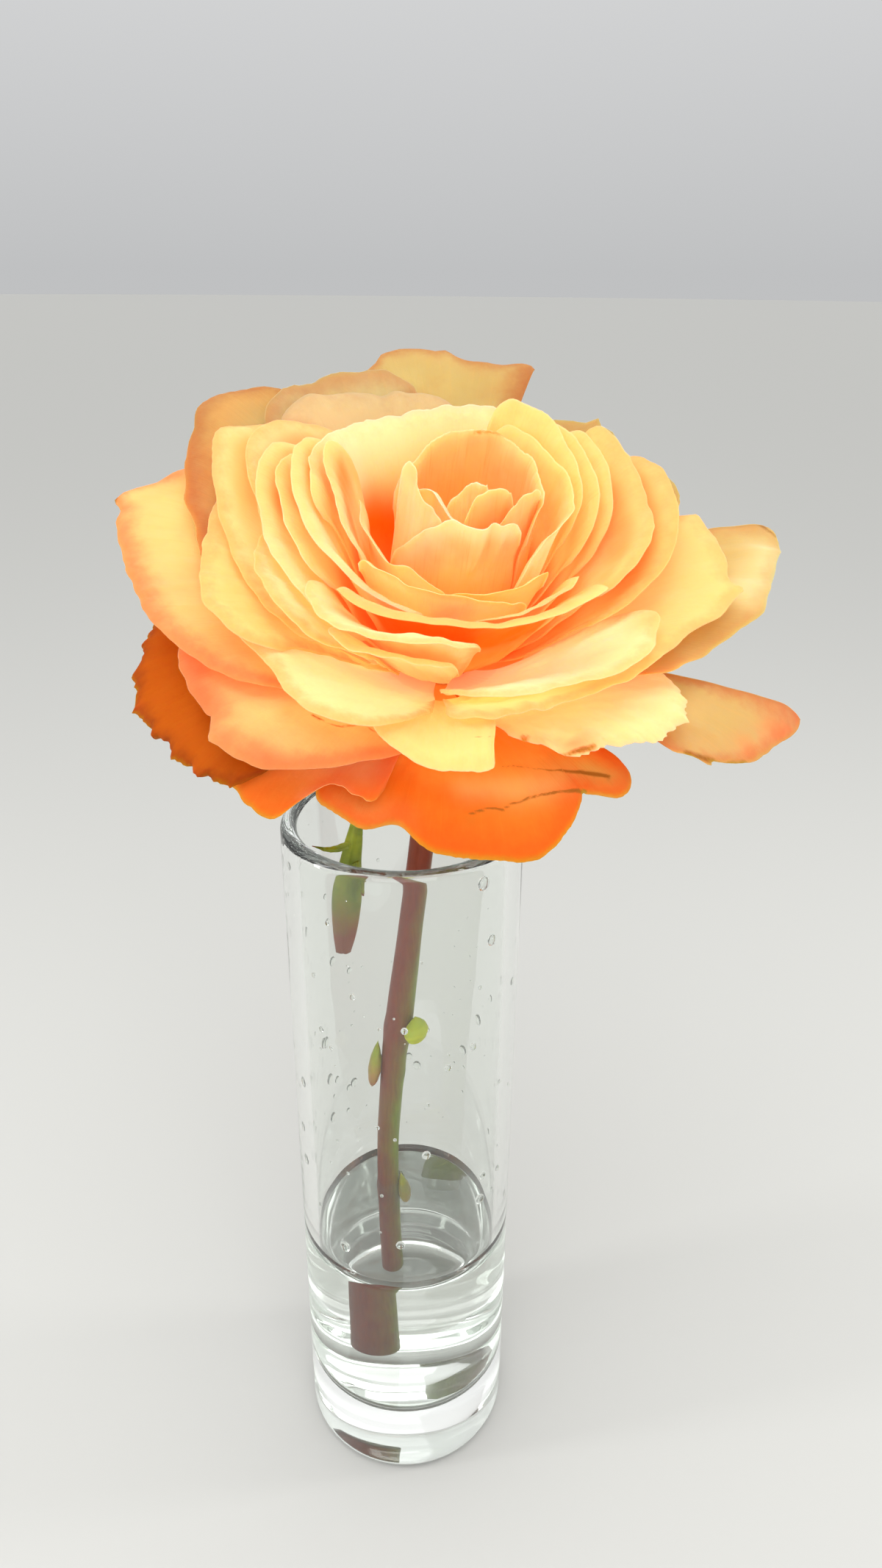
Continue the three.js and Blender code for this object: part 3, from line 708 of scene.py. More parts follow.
# name, angle round the hip, length, width
SEPALS = [
    ("right", 65, 25, 6),
    ("back_right", 135, 23, 6.5),
    ("back_left", 205, 24, 6),
    ("left", 275, 22, 5.5),
]
LONG_SEPAL_LINE = [
    (2.2, 5.5, 173.6),
    (-2.4, 1.0, 172.4),
    (-6.0, -1.8, 164.5),
    (-8.0, -3.0, 152),
    (-9.6, -4.4, 141),
    (-10.8, -6.0, 127),
]
LONG_SEPAL_HALF_WIDTHS = [1.6, 1.3, 1.0, 1.0, 1.15, 1.8, 2.7, 1.4]
LONG_SEPAL_LOBES = [
    [(-9.0, -3.6, 148.0), (-12.6, -4.0, 147.0), (-16.0, -4.4, 147.9)],
    [(-8.4, -4.2, 144.5), (-7.4, -4.4, 141.5), (-7.0, -4.6, 138.5)],
]
sepal_leaf = green_material("sepal leaf", "#5e7208", "#98a41c", "#88421a", 0.38)
GRID_U, GRID_T = 16, 90


def two_skins(outer, inner):
    """Points and faces of a closed sheet between two matching grids of points."""
    columns, rows = outer.shape[:2]
    index = np.arange(columns * rows).reshape(columns, rows)
    back = index + columns * rows
    quads = []

    def quad(a, b, c, d):
        quads.append(np.stack([x.ravel() for x in (a, b, c, d)], -1))

    quad(index[:-1, :-1], index[1:, :-1], index[1:, 1:], index[:-1, 1:])
    quad(back[:-1, :-1], back[:-1, 1:], back[1:, 1:], back[1:, :-1])
    quad(index[:-1, 0], back[:-1, 0], back[1:, 0], index[1:, 0])
    quad(index[:-1, -1], index[1:, -1], back[1:, -1], back[:-1, -1])
    quad(index[0, :-1], index[0, 1:], back[0, 1:], back[0, :-1])
    quad(index[-1, :-1], back[-1, :-1], back[-1, 1:], index[-1, 1:])
    points = np.concatenate([outer.reshape(-1, 3), inner.reshape(-1, 3)])
    return points, np.concatenate(quads).tolist()


def blade(line, half_widths, across, thickness, curl, seed):
    """Two skins of a leafy strip along a line, and how far each point is along it."""
    t = np.linspace(0, 1, GRID_T + 1)
    centre = spline(np.asarray(line, float), t * (len(line) - 1))
    along = np.gradient(centre, axis=0)
    along /= np.linalg.norm(along, axis=1)[:, None]
    side = across - along * (along @ across)[:, None]
    side /= np.linalg.norm(side, axis=1)[:, None]
    face = np.cross(side, along)
    half = np.maximum(spline(half_widths, t * (len(half_widths) - 1)), 0.08)
    u = np.linspace(-1, 1, GRID_U + 1)[:, None]
    half = half[None] * (1 + 0.07 * ripple(u * 0.2, t[None] * 5, seed))
    bend = curl * half * u**2 + 0.12 * ripple(u * 0.6, t[None] * 3, seed + 1)
    bend = bend + 0.18 * hump(u, 0, 0.12)
    depth = thickness / 2 * (1 - 0.75 * u**2) * np.ones_like(half)
    middle = centre[None] + side[None] * (half * u)[..., None] + face[None] * bend[..., None]
    shift = face[None] * depth[..., None]
    return middle + shift, middle - shift, np.ones_like(u) * t[None]


def sepal_piece(name, sheets, node):
    """One sepal from its sheets, the blade first and then any lobes."""
    points, faces, dried = [], [], []
    for outer, inner, t in sheets:
        p, f = two_skins(outer, inner)
        faces += (np.array(f) + len(points)).tolist()
        points += p.tolist()
        dried += [*t.ravel(), *t.ravel()]
    piece = new_piece(name, points, faces, sepal_leaf)
    give(piece, "dried", np.clip(np.array(dried) ** 7 * 1.1, 0, 1))
    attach(piece, "root")
    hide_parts(node)


for name, around, length, width in SEPALS:
    turn_out = math.radians(around)
    out = np.array([math.sin(turn_out), -math.cos(turn_out)])
    steps = [(0, 0), (4.0, -1.2), (6.2, -0.3 * length), (6.0, -0.6 * length), (6.6, -0.8 * length)]
    line = [(*(out * (SEPAL_SEAT_RADIUS + r)), SEPAL_SEAT_HEIGHT + drop) for r, drop in steps]
    across = np.array([math.cos(turn_out), math.sin(turn_out), 0])
    half = width / 2
    widths = [0.75 * half, half, 0.9 * half, 0.65 * half, 0.35 * half, 0.3 * half, 0.05]
    sheets = [blade(line, widths, across, SEPAL_THICKNESS, 0.28, around)]
    mid = np.array(line[2])
    for hand in (-1, 1):
        root = mid + across * hand * half * 0.75
        steps = [(0, 0), (2.4, -2.2), (3.4, -5)]
        lobe = [root + across * hand * r + (0, 0, drop) for r, drop in steps]
        sheets.append(blade(lobe, [0.7, 0.5, 0.05], np.array([0, 0, 1.0]), 0.3, 0.1, around + hand))
    sheets = [(from_head(a), from_head(b), t) for a, b, t in sheets]
    sepal_piece(f"{name}_sepal", sheets, f"sepal_{name}")

across = np.array([1, 0.15, 0])
sheets = [blade(LONG_SEPAL_LINE, LONG_SEPAL_HALF_WIDTHS, across, SEPAL_THICKNESS, 0.3, 7)]
for k, lobe in enumerate(LONG_SEPAL_LOBES):
    sheets.append(blade(lobe, [0.8, 0.55, 0.05], np.array([0, 0.2, 1.0]), 0.35, 0.1, 30 + k))
sepal_piece("long_sepal", sheets, "sepal_long")

# ---- petals: how they are shaped and made -------------------------------------------
# Every petal is one soft blade about a third of a millimetre thick that springs from the
# hip's rim. Petals lie in nested bowls: a bowl's layer runs from 0, the upright heart, to
# 1, the hanging outermost ones, and its angle from the bloom's axis is given every 10 mm.

BOWL_STEP = 10.0
LAYER_STEP = 0.2
BOWL_ANGLES = [
    [46, 20, -4, -8, -10, -10, -10],
    [50, 28, 8, 4, 10, 18, 25],
    [54, 34, 20, 20, 30, 45, 55],
    [60, 42, 33, 36, 48, 64, 80],
    [68, 52, 46, 52, 66, 84, 102],
    [78, 68, 64, 78, 104, 134, 150],
]
PETAL_THICKNESS = 0.3
PETAL_SEAT_THICKNESS = 0.15
PETAL_RIM_THICKNESS = 0.07
PETAL_RUFFLE = 0.35
SWAY = 1.3
# what a petal's material reads: stained margin, bruised, faded green, faded pale, painted shade,
# and reddened. Pale is the petal's own faded colour, and on a few faces painted light where they
# lie in shade; painted shade lays the seat's orange into creases, over the ends that tuck under
# a neighbour, and over a few whole faces
CHANNELS = ("blush", "brown", "olive", "pale", "painted_shade", "rosy")
# a petal's shape where its own row doesn't say; lengths in mm, places from -1 to 1 across
USUAL_SHAPE = {
    "grain": 0.7,  # spacing of the mesh
    "corner": 4.0,  # radius of the two corners of the margin
    "droop": 0.02,  # share by which the margin is shorter at the corners
    "scallops": (0, 1, 0),  # depth, length and phase
    "ragged": 0.22,  # slow waves along the margin
    "nicks": 0.06,  # quick ones
    "bumps": (),  # the place, height and half width of each
    "splay": (0, 0),  # degrees by which the two sides of the tip turn outward
    "twist": 0.0,  # layers by which one side lies further out than the middle
    "curl": (26, 3.2),  # degrees, and over what length before the margin
    "rolls": (),  # the place, half width, degrees and length of each other curl
    "crumple": 0.13,
    "folds": (),  # the line, height and half width of each
    "marks": (),  # the channel, line, half width and strength of each
    **dict.fromkeys(CHANNELS, 0.0),
    "blush": 0.3,
}


def smooth(x):
    """A soft step from 0 to 1."""
    x = np.clip(x, 0, 1)
    return x * x * (3 - 2 * x)


def bowl_angle(layer, length):
    """The angle from the bloom's axis, in radians, at a length along a bowl."""
    rows = [spline(row, length / BOWL_STEP) for row in BOWL_ANGLES]
    shares = [spline(one, layer / LAYER_STEP) for one in np.eye(len(rows))]
    return np.radians(sum(share * row for share, row in zip(shares, rows)))


def sway(around, layer, length):
    """The slow undulation, in radians, that all neighbouring petals share."""
    turns = around / math.tau
    wave = np.sin(math.tau * 2 * turns + 0.8 + 4 * layer) + 0.8 * np.sin(
        math.tau * 5 * turns + 2.1 - 7 * layer
    )
    wave = wave + 0.6 * np.sin(math.tau * 9 * turns + 0.3 + 11 * layer)
    return math.radians(SWAY) * wave * smooth(length / 34)


def from_line(places, around, length, reach):
    """How far, in mm, each point of a petal is from a line of (angle, length) places."""
    nearest = np.full(length.shape, 1000.0)
    for (turn_a, long_a), (turn_b, long_b) in zip(places, places[1:] or places):
        ax, ay = (around - math.radians(turn_a)) * reach, length - long_a
        bx, by = math.radians(turn_b - turn_a) * reach, long_b - long_a
        t = np.clip((ax * bx + ay * by) / (bx * bx + by * by + 1e-9), 0, 1)
        nearest = np.minimum(nearest, np.hypot(ax - t * bx, ay - t * by))
    return nearest


def petal_points(layer, start, end, lengths, shape):
    """The grids of one petal's outer and inner skin in millimetres, with its measures."""
    turn, half = math.radians((start + end) / 2), math.radians((end - start) / 2)
    longest = max(lengths)
    onward = max(layer, 0)
    girth = 2 * half * (4 + 26 * onward * (1 + onward / 2) + 8)
    grain = shape["grain"]
    columns = int(np.clip(girth / grain, 44, 200))
    rows = int(np.clip(longest / grain / 1.36, 34, 120))
    u = np.linspace(-1, 1, columns + 1)[:, None]
    w = np.linspace(0, 1, rows + 1)[None, :]
    v = 1 - (1 - w) ** 1.35
    seed = int(start * 7 + end * 3)
    width_mm = girth / 2
    margin = spline(lengths, (u + 1) / 2 * (len(lengths) - 1))
    corner = shape["corner"]
    past = np.clip((np.abs(u) * width_mm - width_mm + corner) / corner, 0, 1)
    margin = margin - corner * (1 - np.sqrt(1 - past**2)) - shape["droop"] * margin * u**8
    for at, size, width in shape["bumps"]:
        margin = margin + size * hump(u, at, width)
    high, long, phase = shape["scallops"]
    margin = margin + high * (0.5 - np.abs(np.sin(np.pi * (u * width_mm / long + phase))) ** 0.7)
    margin = margin + shape["ragged"] * ripple(u * width_mm / 9, 0 * u, seed + 5, 7)
    margin = margin + shape["nicks"] * ripple(u * width_mm / 2.2, 0 * u, seed + 9, 7)
    length = margin * v
    seat_half = min(half, math.radians(20 + 18 * (1 - onward)))
    narrow = seat_half / half
    around = turn + half * u * (narrow + (1 - narrow) * smooth(v / 0.5))
    before, after = shape["splay"]
    splay = after * np.clip(u, 0, 1) ** 2 - before * np.clip(-u, 0, 1) ** 2
    around = around + np.radians(splay) * smooth(v * 2 - 1) ** 2
    lean = layer + shape["twist"] * u * smooth(v / 0.5)
    middle = (length[:, 1:] + length[:, :-1]) / 2
    step = np.diff(length, axis=1)
    curl_angle, curl_length = shape["curl"]
    curls = curl_angle * np.ones_like(u)
    curl_lengths = curl_length * np.ones_like(u)
    for at, width, angle, long in shape["rolls"]:
        share = np.exp(-(((u - at) / width) ** 4))
        curls = curls + (angle - curl_angle) * share
        curl_lengths = curl_lengths + (long - curl_length) * share

    def direction(distance, azimuth, lean_here):
        base = bowl_angle(np.maximum(lean_here, 0), distance)
        base = base + sway(azimuth, lean_here, distance)
        near = np.clip((distance - (margin - curl_lengths)) / curl_lengths, 0, 1)
        return base + np.radians(curls) * near**1.4

    lean_mid = (lean[:, 1:] + lean[:, :-1]) / 2 + 0 * middle
    around_mid = (around[:, 1:] + around[:, :-1]) / 2
    theta_mid = direction(middle, around_mid, lean_mid)
    theta = direction(length, around, lean + 0 * length)
    squeeze = 1 + min(layer, 0)
    zero = np.zeros_like(margin)
    lean_seat = np.maximum(lean[:, :1], 0)
    radius = SEAT_INNER_RADIUS + SEAT_SPREAD * lean_seat
    radius = radius + np.concatenate([zero, np.cumsum(step * np.sin(theta_mid), 1)], 1)
    height = SEAT_TOP - SEAT_DROP * lean_seat**1.3
    height = height + np.concatenate([zero, np.cumsum(step * np.cos(theta_mid), 1)], 1)
    radius = radius * squeeze
    rim = np.minimum(margin - length, (1 - np.abs(u)) * width_mm + 2.5 * (v < 0.45))
    wave = PETAL_RUFFLE * np.exp(-rim / 5) * smooth(v / 0.5)
    offset = wave * ripple(u * width_mm / 16, length / 60, seed + 2)
    offset = offset + shape["crumple"] * smooth(v / 0.4) * ripple(
        u * width_mm / 7, length / 14, seed + 3, 7
    )
    for places, rise, breadth in shape["folds"]:
        offset = offset + rise * hump(from_line(places, around, length, radius), 0, breadth)
    growth = PETAL_SEAT_THICKNESS + (PETAL_THICKNESS - PETAL_SEAT_THICKNESS) * smooth(v / 0.4)
    thin = PETAL_RIM_THICKNESS + (growth - PETAL_RIM_THICKNESS) * smooth((margin - length) / 1.6)
    thick = np.minimum(growth, thin) / 2
    skins = []
    for side in (1, -1):
        r = radius + (offset + side * thick) * np.cos(theta)
        z = height - (offset + side * thick) * np.sin(theta)
        skins.append(np.stack([r * np.sin(around), -r * np.cos(around), z], -1))
    measures = {
        "rim": rim,
        "along": v + 0 * u,
        "across": u * width_mm + 0 * v,
        "length": length,
        "around": around,
        "reach": radius,
    }
    return skins, measures


def petal(name, layer, start, end, lengths, look, finish, **shape):
    """Makes one petal, writes what its material reads, and puts it in its node's place."""
    shape = {**USUAL_SHAPE, **shape}
    (outer, inner), measure = petal_points(layer, start, end, lengths, shape)
    points, faces = two_skins(outer, inner)
    piece = new_piece(f"{name}_petal", from_head(points), faces, look)
    for key in ("rim", "along"):
        give(piece, key, np.concatenate([measure[key].ravel()] * 2))
    for channel in CHANNELS:
        value = shape[channel] + 0 * measure["rim"]
        for kind, places, breadth, strength in shape["marks"]:
            if kind == channel:
                apart = from_line(places, measure["around"], measure["length"], measure["reach"])
                value = value + strength * hump(apart, 0, breadth)
        give(piece, channel, np.concatenate([value.ravel()] * 2))
    uv = piece.data.uv_layers.new(name="petal")
    flat = np.stack([measure["across"].ravel(), measure["length"].ravel()], -1)
    flat = np.concatenate([flat, flat])
    corners = np.zeros(len(piece.data.loops), np.int32)
    piece.data.loops.foreach_get("vertex_index", corners)
    uv.data.foreach_set("uv", flat[corners].astype(np.float32).ravel())
    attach(piece, "root")
    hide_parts(f"petal_{name}")
    return piece


def petal_tissue(
    name, seat, throat, body, tip, flush, margin,
    reach=5.0, streaks=0.18, glow=0.2, warmth=0.4, stops=(0.52, 0.72),
):
    """Rose petal tissue: velvety cells over a juicy sheet that light passes through. Its
    colour runs from the seat to the tip, with fine veins along it and a stained margin. It also
    glows a little, painted light for the light among the petals."""
    made, tree, shader = start_material(
        name,
        {
            "Roughness": 0.62,
            "IOR": 1.4,
            "Specular IOR Level": 0.08,
            "Subsurface Weight": 0.85,
            "Subsurface Scale": 1.6 * MM,
            "Subsurface Radius": (1.0, 0.62, 0.3),
            "Emission Strength": glow,
        },
    )
    where = add_node(tree, "ShaderNodeTexCoord").outputs["Object"]
    uv = add_node(tree, "ShaderNodeUVMap", uv_map="petal").outputs["UV"]
    read = {
        key: add_node(tree, "ShaderNodeAttribute", attribute_name=key).outputs["Fac"]
        for key in ("rim", "along", *CHANNELS)
    }
    threads = add_node(tree, "ShaderNodeMapping", {"Scale": (1.7, 0.07, 1.0), "Vector": uv})
    for key, scale, detail, roughness, vector in (
        ("cloud", 90.0, 3.0, 0.55, where),  # pigment clouds about 10 mm across
        ("vein", 1.0, 3.0, 0.6, threads.outputs["Vector"]),  # threads 0.5 mm apart
        ("grain", 420.0, 4.0, 0.65, where),  # blotches of 2 mm in a stain or a bruise
        ("velvet", 1400.0, 2.0, 0.5, where),  # the cells, drawn 0.7 mm wide so that they show
    ):
        values = {"Scale": scale, "Detail": detail, "Roughness": roughness, "Vector": vector}
        read[key] = add_node(tree, "ShaderNodeTexNoise", values).outputs["Fac"]
    # a few specks, 0.3 mm, in one cell of fourteen
    cells = add_node(tree, "ShaderNodeTexVoronoi", {"Scale": 170.0, "Vector": where}).outputs
    read["speck"], drawn = cells["Distance"], {0: cells["Color"], 1: 0.93}
    read["drawn"] = add_node(tree, "ShaderNodeMath", drawn, operation="GREATER_THAN").outputs[0]
    # each a texture's share on top of a measure
    for key, texture, share, measure in (
        ("place", "cloud", 0.22, "along"),
        ("crept", "grain", 3.2, "rim"),
        ("bruise", "grain", 0.6, "brown"),
        ("relief", "velvet", 0.35, "vein"),
    ):
        values = {0: read[texture], 1: share, 2: read[measure]}
        read[key] = add_node(tree, "ShaderNodeMath", values, operation="MULTIPLY_ADD").outputs[0]
    # each a softened step between two values of what it reads, and what it is at them
    for key, source, low, high, at_low, at_high in (
        ("flushed", "cloud", 0.48, 0.78, 0.0, 0.5),
        ("veined", "vein", 0.5, 0.78, 0.0, streaks),
        ("edge", "rim", 0.0, 0.8, 0.15, 0.0),
        ("inland", "rim", 0.4, 5.0, 0.0, 1.0),
        ("cloudy", "cloud", 0.25, 0.6, 0.0, 1.0),
        ("stained", "crept", 1.4, reach, 1.0, 0.0),
        ("tinged", "crept", 2.0, 12.0, 0.35, 0.0),
        ("bruised", "bruise", 0.55, 0.95, 0.0, 1.0),
        ("speck", "speck", 0.03, 0.075, 1.0, 0.0),
        ("upper", "along", 0.4, 0.6, 0.0, 0.7),
    ):
        values = {"From Min": low, "From Max": high, "To Min": at_low, "To Max": at_high}
        values["Value"] = read[source]
        step = add_node(tree, "ShaderNodeMapRange", values, interpolation_type="SMOOTHSTEP")
        read[key] = step.outputs[0]
    for key, factor in (
        # painted shade: none within 0.4 mm of the margin, full from 5 mm in
        ("painted_shade", "inland"),
        ("rosy", "cloudy"),
        ("stained", "blush"),
        ("tinged", "blush"),
        ("speck", "drawn"),
        ("speck", "upper"),
    ):
        values = {0: read[key], 1: read[factor]}
        read[key] = add_node(tree, "ShaderNodeMath", values, operation="MULTIPLY").outputs[0]
    ramp = add_node(
        tree,
        "ShaderNodeValToRGB",
        {"Fac": read["place"]},
        [(0.28, seat), (stops[0], throat), (stops[1], body), (1.0, tip)],
    )
    ramp.color_ramp.interpolation = "EASE"
    colour = ramp.outputs["Color"]
    # what tints it, from the pigment clouds to the last speck, and how much
    for tint, amount in (
        (flush, "flushed"),
        (throat, "veined"),
        (tip, "edge"),
        # pale: the petal's faded colour, and painted light on faces in shade
        ("#ffeaba", "pale"),
        ("#b9a45c", "olive"),
        # painted shade: the seat's orange where a crease or a neighbour shades the petal
        (seat, "painted_shade"),
        ("#ee5a30", "rosy"),
        (margin, "stained"),
        (flush, "tinged"),
        ("#86581f", "bruised"),
        ("#8a5a22", "speck"),
    ):
        values = {0: read[amount], 6: colour, 7: linear(tint)}
        colour = add_node(tree, "ShaderNodeMix", values, data_type="RGBA").outputs[2]
    tree.links.new(colour, shader.inputs["Base Color"])
    # painted light: every petal glows a little in its own colour, made warmer, standing in for
    # the light that has come through all the petals round about
    values = {0: warmth, 6: colour, 7: linear("#ff8c28")}
    warm = add_node(tree, "ShaderNodeMix", values, data_type="RGBA")
    tree.links.new(warm.outputs[2], shader.inputs["Emission Color"])
    relief = {"Strength": 0.5, "Distance": 0.16 * MM, "Height": read["relief"]}
    bump = add_node(tree, "ShaderNodeBump", relief)
    tree.links.new(bump.outputs["Normal"], shader.inputs["Normal"])
    return made


# ---- petals of the heart and core ---------------------------------------------------
# The last petals to open: three rolled scrolls in the middle, then the four that wrap
# them in a bud, more orange than the rest and streaked on their backs.

core_tissue = petal_tissue(
    "rose petal, orange heart", "#f86206", "#fe8c36", "#ffbc6c", "#fdbc7c", "#fa9a4c", "#fcc08c",
    streaks=0.4, glow=0.13,
)
# name, layer, first and last angle, lengths in mm evenly spaced between them, and shape
# painted shade: heart_c and core_back lay some of the seat's orange over their faces, where the
# heart is shaded
for name, layer, start, end, lengths, shape in (
    ("heart_a", -0.4, 320, 430, [35, 37, 38.5, 38, 36], {"corner": 2.0, "pale": 0.35}),
    ("heart_b", 0.0, 262, 366, [33, 36.5, 37.6, 38.2, 38.6, 38.4, 37.6, 36.2, 33],
     {"curl": (75, 6.0), "corner": 3.0, "pale": 0.75}),
    ("heart_c", 0.06, -4, 78, [36, 40, 40.6, 40.6, 40.2, 39.2, 38, 35.5, 31],
     {"corner": 2.5, "painted_shade": 0.25, "curl": (10, 2)}),
    ("core_front", 0.15, 288, 408, [24.2, 27.8, 31.2, 34.2, 36.8, 39, 39.4, 39.8, 39.2, 38.6, 35],
     {"scallops": (0.3, 6.5, 0.2), "grain": 0.5, "corner": 2.0, "curl": (20, 3),
      "marks": [
          ("pale", [(298, 27), (323, 33.4), (340, 37), (349, 38.5), (372, 39), (402, 37)],
           2.4, 0.8),
          ("rosy", [(330, 32), (350, 33), (385, 33)], 3.5, 0.3)],
      "folds": [([(370, 39), (366, 31)], 0.55, 1.1), ([(377, 39), (375, 30)], -0.45, 1.0),
                ([(384, 39), (384, 31)], 0.4, 0.9), ([(350, 39), (346, 34)], -0.4, 1.2)]}),
    ("core_right", 0.125, 22, 92, [36, 38.5, 39.5, 38.5, 31],
     {"twist": 0.03, "corner": 4.0, "curl": (10, 2)}),
    ("core_left", 0.12, 268, 344, [30, 32, 39.5, 42.8, 42, 39.6, 37.9, 37.2, 37],
     {"pale": 0.35, "corner": 1.5, "curl": (10, 2)}),
    ("core_back", 0.155, 55, 240, [37, 38, 38, 37, 31],
     {"nicks": 0.12, "painted_shade": 0.12, "marks": [("rosy", [(140, 38), (185, 37.5)], 2.2, 0.45),
                                             ("brown", [(150, 38), (172, 37.6)], 0.6, 0.55)]}),
):
    petal(name, layer, start, end, lengths, core_tissue, "petal_peach", **shape)

# ---- petals of the middle rings -----------------------------------------------------
# Short broad petals packed in nested cups, cream at the margin and orange in the throat.

OPEN_LAYER = 0.69

ring_tissue = petal_tissue(
    "rose petal, cream", "#f86404", "#fe9c48", "#ffd892", "#fcc880", "#fcb06c", "#f28850",
    stops=(0.58, 0.84),
)
# the outer of them lie open, and are pale almost down to the seat; they glow the most,
# painted light in the hollows that the petals above shade
open_tissue = petal_tissue(
    "rose petal, open cream", "#fc9038", "#fec070", "#fcd890", "#fac07a", "#fab06c", "#f28850",
    glow=0.32, warmth=0.14, stops=(0.3, 0.52),
)
